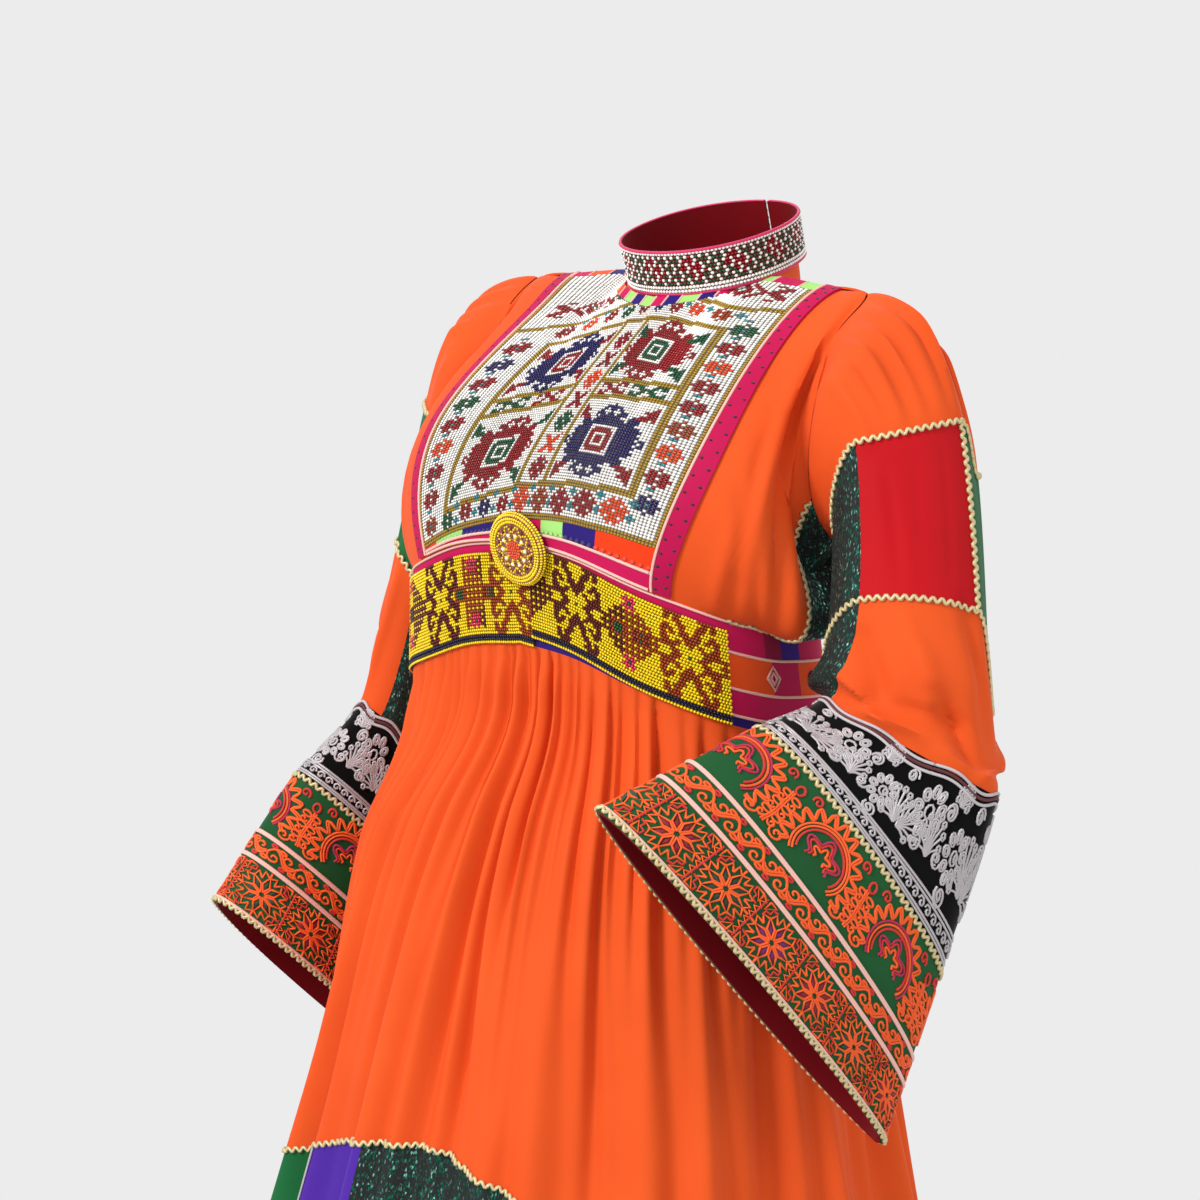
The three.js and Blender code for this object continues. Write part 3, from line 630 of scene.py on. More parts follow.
def cord_laying():
    """Turns every line into a round cord of one thickness."""
    tree, given = new_tree("lay_cords", Thickness="Float", Sides="Int", Finish="Material")
    run = add_node(tree, "GeometryNodeMeshToCurve", {"Mesh": given.outputs[0]}).outputs[0]
    half = add_node(
        tree, "ShaderNodeMath", {0: given.outputs["Thickness"], 1: 0.5}, operation="MULTIPLY"
    ).outputs[0]
    section_line = add_node(
        tree, "GeometryNodeCurvePrimitiveCircle", {"Resolution": given.outputs["Sides"], "Radius": half}
    )
    cord = add_node(
        tree,
        "GeometryNodeCurveToMesh",
        {"Curve": run, "Profile Curve": section_line.outputs[0], "Fill Caps": True},
    )
    whole = add_node(tree, "GeometryNodeRealizeInstances", {"Geometry": cord.outputs[0]})
    dressed = add_node(
        tree, "GeometryNodeSetMaterial", {"Geometry": whole.outputs[0], "Material": given.outputs["Finish"]}
    )
    add_node(tree, "NodeGroupOutput", {"Geometry": dressed.outputs[0]})
    return tree


def settle(piece, tree, **inputs):
    """Runs a tree on a piece, and keeps what it makes as the piece's own plain mesh."""
    modifier = piece.modifiers.new("make", "NODES")
    modifier.node_group = tree
    for item in tree.interface.items_tree:
        if item.in_out == "INPUT" and item.name.replace(" ", "_") in inputs:
            modifier[item.identifier] = inputs[item.name.replace(" ", "_")]
    bpy.context.view_layer.update()
    graph = bpy.context.evaluated_depsgraph_get()
    made = bpy.data.meshes.new_from_object(
        piece.evaluated_get(graph), preserve_all_data_layers=True, depsgraph=graph
    )
    piece.modifiers.clear()
    piece.data = made
    made.name = piece.name


def keep(piece):
    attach(piece, "root")


def new_piece(name, mesh):
    piece = bpy.data.objects.new(name, mesh)
    bpy.context.scene.collection.objects.link(piece)
    return piece


def paint_faces(mesh, quads, flat_u, flat_v, paint):
    """Gives every face its own tint, by its middle's place on the surface."""
    u = flat_u[quads]
    u = np.where(u.max(1, keepdims=True) - u > FULL_TURN / 2, u + FULL_TURN, u).mean(1)
    v = flat_v[quads].mean(1)
    shades = {key: linear(key) for key in set(paint(u, v))}
    tints = np.array([shades[key] for key in paint(u, v)], np.float32)
    layer = mesh.attributes.new("tint", "FLOAT_COLOR", "CORNER")
    layer.data.foreach_set("color", np.repeat(tints, 4, axis=0).ravel())


def cloth(name, side, us, vs, look, nodes, held, rests_on=(), wall=(-CLOTH, 0), slot=None, paint=None):
    """A closed wall of cloth over the grid lines us and vs of a surface, standing for CAD nodes; wall
    is how far its faces stand off the surface."""
    us, vs = np.asarray(us, float), np.asarray(vs, float)
    wraps = abs(us[-1] - us[0] - FULL_TURN) < 1e-9
    u, v = np.meshgrid(us, vs)
    middle = side.surface(u, v)
    normal = side.normal(u, v)
    flat = np.stack([arc(middle, 1), np.broadcast_to(arc(middle, 0)[:, :1], u.shape)], -1)
    width, height = len(us) - wraps, len(vs)
    kept = np.concatenate([(middle + normal * h)[:, :width].reshape(-1, 3) for h in wall])
    layer = width * height
    i, j = np.meshgrid(np.arange(height - 1), np.arange(len(us) - 1), indexing="ij")
    here, beside = i * width + j, i * width + (j + 1) % width
    corner = np.stack([here, beside, beside + width, here + width], -1)
    corner_flat = np.stack([flat[i, j], flat[i, j + 1], flat[i + 1, j + 1], flat[i + 1, j]], -2)
    corner, corner_flat = corner.reshape(-1, 4), corner_flat.reshape(-1, 4, 2)
    quads = [corner + layer, corner[:, ::-1]]
    coordinates = [corner_flat, corner_flat[:, ::-1]]

    def rim(line, flats):
        a, b = line[:-1], line[1:]
        quads.append(np.stack([a, b, b + layer, a + layer], -1))
        coordinates.append(np.stack([flats[:-1], flats[1:], flats[1:], flats[:-1]], 1))

    columns = np.arange(len(us))
    rim(columns % width, flat[0])
    rim(((height - 1) * width + columns % width)[::-1], flat[-1][::-1])
    if not wraps:
        rows = np.arange(height) * width
        rim(rows[::-1], flat[::-1, 0])
        rim(rows + width - 1, flat[:, -1])
    quads, coordinates = np.concatenate(quads), np.concatenate(coordinates)
    if side.facing < 0:
        quads, coordinates = quads[:, ::-1], coordinates[:, ::-1]
    mesh = quads_mesh(name, kept, quads, coordinates)
    mesh.materials.append(finishes[look])
    if paint:
        spread = [np.tile(grid[:, :width].ravel(), 2) for grid in (u, v)]
        paint_faces(mesh, quads, *spread, paint)
    piece = new_piece(name, mesh)
    if nodes:
        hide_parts(*nodes)
    keep(piece)


BEAD_TREE = bead_setting()
CORD_TREE = cord_laying()
SEED_BEAD = turned_shape("seed_bead", [(0, -0.45), (1, 0), (0, 0.75)], 6)
ROUND_BEAD = turned_shape("round_bead", [(0, -0.5), (1, -0.1), (0.75, 0.5), (0, 0.8)], 7)
PETAL = turned_shape("petal", [(0, -0.2), (1, 0), (0, 0.6)], 4)


BEAD_UNEVENNESS = 0.14


def on_side(side, turn, up, height):
    """Where beads sit on a surface: their points, their outward normals and the line they run on."""
    turn, up = np.broadcast_arrays(np.asarray(turn, float), np.asarray(up, float))
    run = side.surface(turn + 0.5, up) - side.surface(turn - 0.5, up)
    return side.raised(turn, up, height), side.normal(turn, up), run


def set_beads(name, spots, tints, sizes, finish, bead=SEED_BEAD):
    """Beads on spots in millimetres; tints and sizes hold one for each, or one for all."""
    places, outs, runs = spots
    mesh = bpy.data.meshes.new(name)
    mesh.from_pydata((np.asarray(places) * MM).tolist(), [], [])
    values = {
        "out": ("FLOAT_VECTOR", "vector", outs),
        "run": ("FLOAT_VECTOR", "vector", runs),
        "size": ("FLOAT_VECTOR", "vector", np.asarray(sizes) * MM),
        "tint": ("FLOAT_COLOR", "color", np.asarray(tints)),
    }
    for label, (kind, field, value) in values.items():
        attribute = mesh.attributes.new(label, kind, "POINT")
        filled = np.broadcast_to(value, (len(places), value.shape[-1])).astype(np.float32)
        attribute.data.foreach_set(field, filled.ravel())
    piece = new_piece(name, mesh)
    settle(piece, BEAD_TREE, Bead=bead, Unevenness=BEAD_UNEVENNESS, Seed=7, Finish=finish)
    keep(piece)


def lay_cords(name, paths, thickness, finish, threads, sides=5, closed=False):
    """Cords along paths in millimetres; threads names one thread for each, or one for all."""
    if isinstance(threads, str):
        threads = [threads] * len(paths)
    spots, edges, shades = [], [], []
    for thread, path in zip(threads, paths):
        start, count = len(spots), len(path)
        spots += (np.asarray(path) * MM).tolist()
        edges += [(start + j, start + j + 1) for j in range(count - 1)]
        if closed:
            edges.append((start + count - 1, start))
        shades += [THREAD[thread]] * count
    mesh = bpy.data.meshes.new(name)
    mesh.from_pydata(spots, edges, [])
    tint = mesh.attributes.new("tint", "FLOAT_COLOR", "POINT")
    tint.data.foreach_set("color", np.asarray(shades, np.float32).ravel())
    piece = new_piece(name, mesh)
    settle(piece, CORD_TREE, Thickness=thickness * MM, Sides=sides, Finish=finish)
    piece.data.polygons.foreach_set("use_smooth", np.ones(len(piece.data.polygons), bool))
    keep(piece)


def tinted(name, rough, grain, **more):
    """A finish whose colour is each bead's or thread's own; grain is the depth of its twist in metres."""
    finish, tree = new_finish(name)
    tint = add_node(tree, "ShaderNodeAttribute", attribute_name="tint").outputs["Color"]
    normal = bumped(tree, noise(tree, 900, 1.0), grain, 0.7)
    close_finish(tree, Base_Color=tint, Roughness=rough, Normal=normal, **more)
    return finish


glass_beads = tinted("glass_beads", 0.34, 0.00005, Coat_Weight=0.15)
cotton_thread = tinted("cotton_thread", 0.65, 0.0003, Sheen_Weight=0.08)
metal_thread = tinted("metal_thread", 0.45, 0.0003, Metallic=0.3)


def full_motif(quarter):
    """A motif from its upper right quarter; the first line is the middle row."""
    right = np.array([list(line) for line in quarter])
    whole = np.concatenate([right[:, :0:-1], right], 1)
    return np.concatenate([whole[:0:-1], whole], 0)


def stamp(chart, motif, row, column, swap=None):
    """Puts a motif on a chart with its centre at a row and column; dots leave the chart as it is."""
    motif = np.array([list(line) for line in motif]) if isinstance(motif, (list, tuple)) else motif
    high, wide = motif.shape
    top, left = row - high // 2, column - wide // 2
    for i in range(high):
        for j in range(wide):
            y, x = top + i, left + j
            if motif[i, j] != "." and 0 <= y < chart.shape[0] and 0 <= x < chart.shape[1]:
                chart[y, x] = (swap or {}).get(motif[i, j], motif[i, j])


def ring(x, y, radius, start=0, end=360, count=24, tall=1.0):
    """Points of an arc, a circle or an ellipse."""
    angle = np.radians(np.linspace(start, end, count + 1))
    return np.stack([x + radius * np.cos(angle), y + radius * tall * np.sin(angle)], -1)


def curl(x, y, radius, start, turns, count=16):
    """A spiral that winds in towards x, y from its outer end at the start angle."""
    part = np.linspace(0, 1, count + 1)
    angle = np.radians(start) + part * turns * 2 * np.pi
    reach = radius * (1 - 0.82 * part)
    return np.stack([x + reach * np.cos(angle), y + reach * np.sin(angle)], -1)


def ray_points(x, y, spots):
    """Points given as (radius, angle) about x, y."""
    turned = [(r, math.radians(a)) for r, a in spots]
    return np.array([(x + r * math.cos(a), y + r * math.sin(a)) for r, a in turned])


def zigzag(start, end, count, deep):
    """A zigzag along a straight line."""
    start, end = np.array(start, float), np.array(end, float)
    part = np.linspace(0, 1, count + 1)[:, None]
    away = np.array([start[1] - end[1], end[0] - start[0]])
    away = away / np.linalg.norm(away)
    sway = np.where(np.arange(count + 1) % 2, deep, -deep)[:, None]
    return mix(start, end, part) + away * sway


THREAD = {
    "orange": linear("#EC5A10"),
    "red": linear("#C8241C"),
    "magenta": linear("#A81246"),
    "pale": linear("#E8B4A8"),
    "silver": linear("#B8B2B4"),
    "maroon": linear("#5A1A20"),
    "gold": linear("#D0C090"),
    "navy": linear("#221A5A"),
    "pink": linear("#C8205A"),
}
STAR_PITCH = 52
STAR_HIGH = 50
PETAL_TINTS = ("#6A1A5E", "#123F22", "#6A1A5E", "#123F22", "#7A1020", "#1E1A5A", "#7A1020", "#123F22")


def star_square(k):
    """One square of the star band: an eight-petalled star between slanting dividers."""
    middle = STAR_HIGH / 2
    paths = []
    for petal in range(8):
        a = 45 * petal
        leaf = [(2.5, a), (11, a - 19), (19.5, a), (11, a + 19), (2.5, a)]
        tip = [(16, a + 22.5), (23, a + 15), (18.5, a), (23, a - 15), (16, a - 22.5)]
        paths += [("orange", ray_points(0, middle, spots)) for spots in (leaf, tip)]
        if petal % 2 == 0:
            paths.append(("orange", ray_points(0, middle, [(19, a), (24.5, a)])))
    half = STAR_PITCH / 2
    low, high = (-half, 2), (-half + 1, STAR_HIGH - 2)
    paths.append(("red", np.array([(-half - 1.6, 2), (-half - 0.6, STAR_HIGH - 2)])))
    paths.append(("orange", zigzag(low, high, 14, 2.6)))
    for side in (-1, 1):
        for foot, way in ((2, 1), (STAR_HIGH - 2, -1)):
            x = side * (half - 4)
            corner = [(x, foot), (x - side * 7, foot), (x, foot + way * 8), (x, foot)]
            paths.append(("orange", np.array(corner)))
            paths.append(("red", zigzag((x - side * 9, foot + way), (x - side * 1, foot + way * 12), 4, 1.5)))
    return paths


VINE_PITCH = 27
VINE_HIGH = 27


def vine_repeat(k):
    """A running scroll: a doubled, waved stem with a curl, a leaf and a berry in each hollow."""
    x = np.linspace(-VINE_PITCH / 2, VINE_PITCH / 2, 13)
    middle = VINE_HIGH / 2
    stem = np.stack([x, middle + 7 * np.sin(x / VINE_PITCH * 2 * np.pi)], -1)
    paths = [("orange", stem), ("orange", stem + (1.5, 1.8))]
    for way in (-1, 1):
        place = way * VINE_PITCH / 4
        paths.append(("orange", curl(place, middle - way * 3.4, 6.4, 90 * way + 60, 1.15 * way)))
        leaf = ring(place + 6, middle + way * 8, 3.4, 0, 360, 8, 0.5)
        paths.append(("orange", leaf))
        paths.append(("red", ring(place - 3, middle + way * 9.5, 2.6, 0, 360, 8, 0.6)))
    return paths


MEDAL_PITCH = 92
MEDAL_HIGH = 64


def medal_repeat(k):
    """A big arched medallion with a waved heart, a crown of curls, and a sprig beside it."""
    y = 27
    paths = [
        ("magenta" if k % 2 else "orange", ring(0, y, 27, -38, 218, 30)),
        ("orange", ring(0, y, 24.5, -38, 218, 28)),
        ("red", ring(0, y, 21.5, -30, 210, 26)),
    ]
    for radius, sway, colour in ((14.5, 4.0, "magenta"), (11.5, 3.4, "red"), (7, 2.4, "orange")):
        angle = np.linspace(-35, 215, 31)
        waved = [(radius + sway * math.cos(math.radians(a - 90) * 5), a) for a in angle]
        paths.append((colour, ray_points(0, y, waved)))
    for shift in (0, 3):
        angle = np.linspace(-32, 212, 141)
        crown = [(33 + shift * 0.4 + 4.6 * math.sin(math.radians(a * 360 / 20)), a + shift) for a in angle]
        paths.append(("orange", ray_points(0, y, crown)))
    for way in (-1, 1):
        paths.append(("orange", curl(way * 33, 8, 6.5, 90 - way * 60, -way * 1.3)))
        paths.append(("red", curl(way * 31, 57, 5.0, 270 + way * 60, way * 1.2)))
    x = MEDAL_PITCH / 2
    stem = np.array([(x, 6), (x - 1.5, 18), (x, 34), (x + 1, 46)])
    paths += [("orange", stem), ("orange", stem + (1.8, 0))]
    for height in (14, 26, 38):
        for way in (-1, 1):
            paths.append(("orange", ring(x + way * 4.6, height + 3, 4.2, 0, 360, 10, 0.6)))
            paths.append(("orange", curl(x + way * 5.5, height - 3, 3.6, 180 if way > 0 else 0, 1.1 * way)))
    paths.append(("red", ring(x, 51, 3.4, 0, 360, 10, 1.3)))
    return paths


COUCH_PITCH = 75
VELVET_HIGH = 62


COUCHED_DAISIES = ((-16, 43, 1.25), (22, 34, 1.0))
COUCHED_FANS = ((3, 22, 62, 1.0), (3, 22, 128, 0.9), (-30, 22, 75, 0.95), (34, 50, 100, 0.6))
COUCHED_CURLS = (
    (-36, 48, 5.5, 0, 1.4),
    (10, 54, 5.0, 180, -1.4),
    (-16, 26, 5.0, 90, 1.3),
    (22, 18, 5.5, 0, -1.5),
    (36, 28, 4.5, 180, 1.3),
)


def couching_repeat(k):
    """Silver cord laid on the velvet: daisies, fans of ribs, curls, and a border of small curls."""
    paths = []
    for x, y, size in COUCHED_DAISIES:
        for petal in range(9):
            spot = ray_points(x, y, [(8.6 * size, 40 * petal)])[0]
            turn = math.radians(40 * petal)
            spin = np.array([(math.cos(turn), math.sin(turn)), (-math.sin(turn), math.cos(turn))])
            paths += [spot + ring(0, 0, radius * size, 0, 360, 8, 0.75) @ spin for radius in (3.1, 1.7)]
        paths.append(ring(x, y, 3.0 * size, 0, 360, 8))
    for x, y, lean, size in COUCHED_FANS:
        for line in range(-4, 5):
            a = lean + line * 13
            reach = size * (24 - 0.7 * line * line)
            paths.append(ray_points(x, y, [(3, lean), (reach * 0.55, lean + line * 7.5), (reach, a)]))
            paths.append(ring(*paths[-1][-1], 1.8, 0, 360, 6))
    for x, y, radius, start, turns in COUCHED_CURLS:
        paths.append(curl(x, y, radius, start, turns))
        paths.append(curl(x + 1.4, y, radius * 0.7, start + 40, turns))
    x = np.linspace(-COUCH_PITCH / 2, COUCH_PITCH / 2, 11)
    paths += [np.stack([x, np.full(11, height)], -1) for height in (2.2, 4.2, 12.4, 14.4)]
    places = np.arange(-COUCH_PITCH / 2, COUCH_PITCH / 2 - 1, 7.5)
    paths += [curl(place + 3.7, 8.3, 3.4, 0, 1.2, 8) for place in places]
    return [("silver", path) for path in paths]


class Cuff:
    """Places on a sleeve's cuff by a motif's own millimetres: x runs round it and y up a band."""

    def __init__(self, arm):
        self.arm = arm
        self.turns = np.linspace(0, FULL_TURN, 361)
        self.run = arc(arm.surface(self.turns, 1.8)[:, None], 0)[:, 0]

    def count(self, pitch, along):
        """How many repeats of one pitch go round the cuff at a place along it."""
        return round(arc(self.arm.surface(self.turns, along)[:, None], 0)[-1, 0] / pitch)

    def around(self, share):
        """The turn at a share of the way round."""
        return np.interp(share % 1 * self.run[-1], self.run, self.turns)

    def places(self, motif, pitch, high, top, foot, height, phase=0.0):
        """Every repeat of a motif as paths on the cuff, with their threads' names."""
        number = self.count(pitch, (top + foot) / 2)
        names, sizes, shares, alongs = [], [], [], []
        for k in range(number):
            for name, path in motif(k):
                names.append(name)
                sizes.append(len(path))
                shares.append((k + phase + path[:, 0] / pitch) / number)
                alongs.append(foot - (foot - top) * path[:, 1] / high)
        around = self.around(np.concatenate(shares))
        spots = self.arm.raised(around, np.concatenate(alongs), height)
        return names, np.split(spots, np.cumsum(sizes)[:-1])


def ringed(arm, along, height, sway=0.0):
    """A line round a sleeve at one place along it, with seven waves if sway is given."""
    around = np.linspace(0, 360, 181)
    return arm.raised(around, along + sway * np.sin(np.radians(around) * 7), height)


RIC_RAC_PERIOD = 6.4
RIC_RAC_SWAY = 1.6
RIC_RAC_THICK = 3.0
RIC_RAC_LIFT = 0.7


def ric_rac(name, runs):
    """Gold ric-rac along runs of (points, normals): a thick cord that weaves from side to side."""
    paths = []
    for spots, outs in runs:
        length = arc(spots[:, None], 0)[:, 0]
        count = max(2, round(length[-1] / RIC_RAC_PERIOD)) * 6
        at = np.linspace(0, length[-1], count + 1)
        line, out = (
            np.stack([np.interp(at, length, column) for column in values.T], -1) for values in (spots, outs)
        )
        aside = np.cross(out, np.gradient(line, axis=0))
        aside /= np.linalg.norm(aside, axis=-1, keepdims=True)
        wave = np.sin(np.arange(count + 1) / 6 * 2 * np.pi)
        paths.append(line + aside * (RIC_RAC_SWAY * wave)[:, None] + out * RIC_RAC_LIFT)
    lay_cords(name, paths, RIC_RAC_THICK, metal_thread, "gold", sides=4)


def run_on(side, us, vs, height=0.4):
    """Points and outward normals along a line on a surface, for a trim to follow."""
    us, vs = np.broadcast_arrays(np.asarray(us, float), np.asarray(vs, float))
    return side.raised(us, vs, height), side.normal(us, vs)


def creased(side, creases, across, down, last):
    """A surface with soft troughs and ridges laid on it: each row is where a crease starts
    and ends, how wide it is and how high, in millimetres; across and down are the millimetres for
    each unit of the surface's own coordinates, and last is where its v ends."""
    margin = 2 * side.step[1]

    def surface(u, v):
        u, v = np.broadcast_arrays(np.asarray(u, float), np.asarray(v, float))
        height = np.zeros_like(u)
        for u0, v0, u1, v1, wide, high in creases:
            middle = (u0 + u1) / 2
            near = (u - middle + FULL_TURN / 2) % FULL_TURN - FULL_TURN / 2 + middle
            run = np.array([(u1 - u0) * across, (v1 - v0) * down])
            off = np.stack([(near - u0) * across, (v - v0) * down], -1)
            part = clamp01(off @ run / (run @ run))
            away = np.linalg.norm(off - part[..., None] * run, axis=-1)
            height = height + high * np.exp(-((away / wide) ** 2)) * np.sin(np.pi * mix(0.12, 0.88, part))
        out = side.normal(u, np.clip(v, margin, last - margin))
        return side.surface(u, v) + out * height[..., None]

    return Side(surface, side.facing, side.step)


BODICE_CREASES = (
    (62, 0.92, 76, 0.12, 9, -7),
    (57, 0.9, 63, 0.25, 8, 4),
    (70, 0.8, 80, 0.2, 9, 5),
    (54, 0.62, 66, 0.06, 7, -4.5),
    (58, 0.4, 62, 0.04, 6, 3.5),
    (53.5, 0.42, 60, 0.3, 4, -2),
    (66, 0.3, 74, 0.02, 6, -4),
    (-60, 0.9, -72, 0.15, 9, -5),
    (-56, 0.6, -66, 0.1, 8, 3.5),
    (-70, 0.7, -80, 0.15, 8, -4),
    (110, 0.6, 128, 0.08, 12, -6),
    (124, 0.9, 138, 0.2, 12, 5),
    (140, 0.75, 150, 0.05, 11, -5),
    (160, 0.6, 166, 0.04, 11, 4),
    (178, 0.7, 184, 0.03, 12, -5),
    (202, 0.6, 198, 0.05, 11, 4),
    (222, 0.8, 212, 0.06, 11, -5),
    (240, 0.7, 228, 0.1, 12, 5),
    (252, 0.5, 240, 0.04, 10, -5),
)
LEFT_CREASES = (
    (30, 0.05, 38, 0.32, 7, -3),
    (0, 0.04, 10, 0.33, 8, 3),
    (-30, 0.05, -20, 0.33, 8, -3),
    (75, 0.08, 80, 0.34, 8, 4),
    (20, 0.36, 24, 0.6, 2.5, -0.9),
    (44, 0.36, 46, 0.61, 2.5, -0.9),
    (66, 0.4, 60, 0.6, 5, -1.4),
    (12, 0.62, -12, 0.86, 7, -7),
    (58, 0.66, 22, 0.9, 7, 6),
    (84, 0.7, 52, 0.95, 7, -8),
    (98, 0.8, 40, 0.985, 6, 8),
    (30, 0.84, -24, 0.97, 6, -8),
    (-40, 0.7, -36, 0.96, 8, 6),
    (-90, 0.5, -70, 0.9, 9, -5),
    (-120, 0.4, -110, 0.9, 10, 4),
    (60, 0.965, 10, 0.95, 8, 9),
    (10, 0.97, -45, 0.975, 8, 8),
    (40, 0.9, -10, 0.905, 6, -6),
)
RIGHT_CREASES = (
    (30, 0.05, 26, 0.32, 7, -3),
    (0, 0.04, -6, 0.33, 8, 3),
    (60, 0.06, 66, 0.34, 8, -3),
    (40, 0.4, 44, 0.6, 3, -1),
    (70, 0.5, 60, 0.8, 7, -4),
    (20, 0.6, 40, 0.92, 8, 4),
    (96, 0.62, 80, 0.96, 7, 4),
    (52, 0.76, 10, 0.95, 6, -4),
    (-30, 0.6, -40, 0.95, 9, -4),
    (-70, 0.4, -66, 0.9, 9, 4),
    (-110, 0.4, -120, 0.95, 9, -4),
)
torso_cloth = creased(torso, BODICE_CREASES, 3.2, 250, 1)
arms["left"] = creased(arms["left"], LEFT_CREASES, 0.95, 380, 2)
arms["right"] = creased(arms["right"], RIGHT_CREASES, 0.8, 380, 2)
PLEATS = 72


def gathered_skirt(turn, drop):
    """The skirt with the narrow troughs that its gathers make below the belt."""
    turn, drop = np.broadcast_arrays(np.asarray(turn, float), np.asarray(drop, float))
    sink = np.zeros_like(turn)
    for k in range(PLEATS):
        place = (k + 0.35 * uneven(k, 11)) * FULL_TURN / PLEATS + 5 * uneven(k, 12) * drop
        reach = 0.04 + 0.24 * max(0, uneven(k, 13)) + (0.2 if k % 4 == 0 else 0)
        width = mix(1.2, 3.4, smooth(drop / 0.5)) * (1 + 0.25 * uneven(k, 15))
        deep = mix(4.5, 11, smooth(drop / 0.12)) * (1 + 0.45 * uneven(k, 14))
        lasts = smooth(drop / 0.012) * (1 - smooth((drop - reach) / 0.25))
        sink = sink + deep * lasts * np.exp(-((folded(turn - place) / width) ** 2))
    aside = np.sin(np.radians(turn)), np.cos(np.radians(turn))
    return skirt(turn, drop) - points(sink * aside[0], -sink * aside[1], 0 * sink)


skirting = Side(gathered_skirt, facing=-1, step=(0.3, 0.002))


def lines(start, end, step):
    """Evenly spaced grid lines, about one step apart."""
    return np.linspace(start, end, max(2, round((end - start) / step) + 1))


PALE_PINK, PINK, DARK_PINK = "#E8AEB4", "#BC1450", "#8E0E3E"
LIME, NAVY, FIRE = "#9AD070", "#281A6A", "#E03A12"
ORANGE, VIOLET, SCARLET = "#E4501C", "#3E1E86", "#C4141E"
STRIP_COLOURS = (
    (-46, FIRE), (-40, LIME), (-27, NAVY), (-8, PINK), (11, LIME), (20, NAVY), (31, FIRE), (46.1, None),
)
SHOULDER_COLOURS = (
    (-46, PINK), (-43, ORANGE), (-40, NAVY), (-37, ORANGE), (-33, PINK), (-28, ORANGE), (-24, PINK),
    (-18, LIME), (-12, NAVY), (-5, LIME), (2, PINK), (9, NAVY), (16, LIME), (23, NAVY), (28, PINK),
    (34, LIME), (38, PINK), (43, LIME), (46.1, None),
)


def picked(rows, turn):
    """The colour of each turn, from rows that say where each colour starts."""
    starts = np.array([start for start, _ in rows])
    return np.clip(np.searchsorted(starts, turn, side="right") - 1, 0, len(rows) - 2)


PINK_TO, PALE_TO = 0.42, 0.5


def paint_strip(turn, part):
    """Pink at the waistband, a pale line, and the row of patches above it."""
    colours = [colour for _, colour in STRIP_COLOURS]
    return [
        PINK if p < PINK_TO else PALE_PINK if p < PALE_TO else colours[k]
        for p, k in zip(part, picked(STRIP_COLOURS, turn))
    ]


def paint_shoulder(turn, part):
    colours = [colour for _, colour in SHOULDER_COLOURS]
    return [colours[k] for k in picked(SHOULDER_COLOURS, turn)]


WAIST_BANDS = (0, 8, 28, 55, WAISTBAND_HIGH)


def paint_waist(turn, up):
    """Navy edge, pink, a panel of patches and pink again, with purple puffs at the side seams."""
    colours = []
    for t, height in zip(folded(turn), up):
        if height < WAIST_BANDS[1]:
            colours.append(NAVY)
        elif height < WAIST_BANDS[2]:
            colours.append(PINK)
        elif height < WAIST_BANDS[3]:
            colours.append((ORANGE, SCARLET, VIOLET, PINK)[int(t / 12) % 4] if t > 86 else ORANGE)
        else:
            colours.append(DARK_PINK if 84 < t < 90 else VIOLET if 90 <= t < 97 else PINK)
    return colours


def add_bodice():
    """The front, the back and the glitter gores under the arms."""
    for name, node, look, start, end, step, rise in (
        ("front", "bodice_front", "orange", -GORE_FROM, GORE_FROM, 1.2, 0.016),
        ("back", "bodice_back", "orange", GORE_TO, FULL_TURN - GORE_TO, 1.6, 0.02),
        ("gore_left", "side_gore_left", "glitter", GORE_FROM, GORE_TO, 1, 0.02),
        ("gore_right", "side_gore_right", "glitter", -GORE_TO, -GORE_FROM, 1, 0.02),
    ):
        under = ["front", "back"] if look == "glitter" else ()
        cloth(name, torso_cloth, lines(start, end, step), lines(0, 1, rise), look, [node], "gathered", under)


def add_bib():
    """The bib's ground and borders, the patched strips under and over it, and the collar."""
    across = lines(-BIB_HALF, BIB_HALF, 0.5)
    thin, strip, beaded = ((LAYER, top) for top in (LAYER + CLOTH, LAYER + STRIP_THICK, GROUND_TOP))
    grid = lines(-BIB_HALF, BIB_HALF, 1), lines(0, 1, 0.012)
    cloth("bib_ground", bib_sheet, *grid, "white", ["bib"], "laid", ["front"], beaded)
    for name, start in (("left", BIB_HALF), ("right", -BIB_HALF - BORDER_WIDE)):
        grid = lines(start, start + BORDER_WIDE, 1), lines(STRIP_LOW, 1, 0.012)
        cloth(f"bib_edge_{name}", torso, *grid, "magenta", [f"bib_border_{name}"], "laid", ["front"], thin)
    cloth(
        "low_strip", strip_sheet, across, [0, PINK_TO, PALE_TO, 0.75, 1], "patched", ["patched_strip"],
        "laid", ["front"], strip, paint=paint_strip,
    )
    cloth(
        "shoulder_strip", torso, across, lines(BIB_TOP, YOKE_TOP, 0.014), "patched", ["yoke_strip"],
        "laid", ["front"], thin, paint=paint_shoulder,
    )
    cloth(
        "collar_band", neck, lines(-179, 179, 3), lines(0, COLLAR_HIGH, 3), "lining", ["collar"],
        "stretched", wall=(0, STIFF - 1), slot="collar_beadwork",
    )


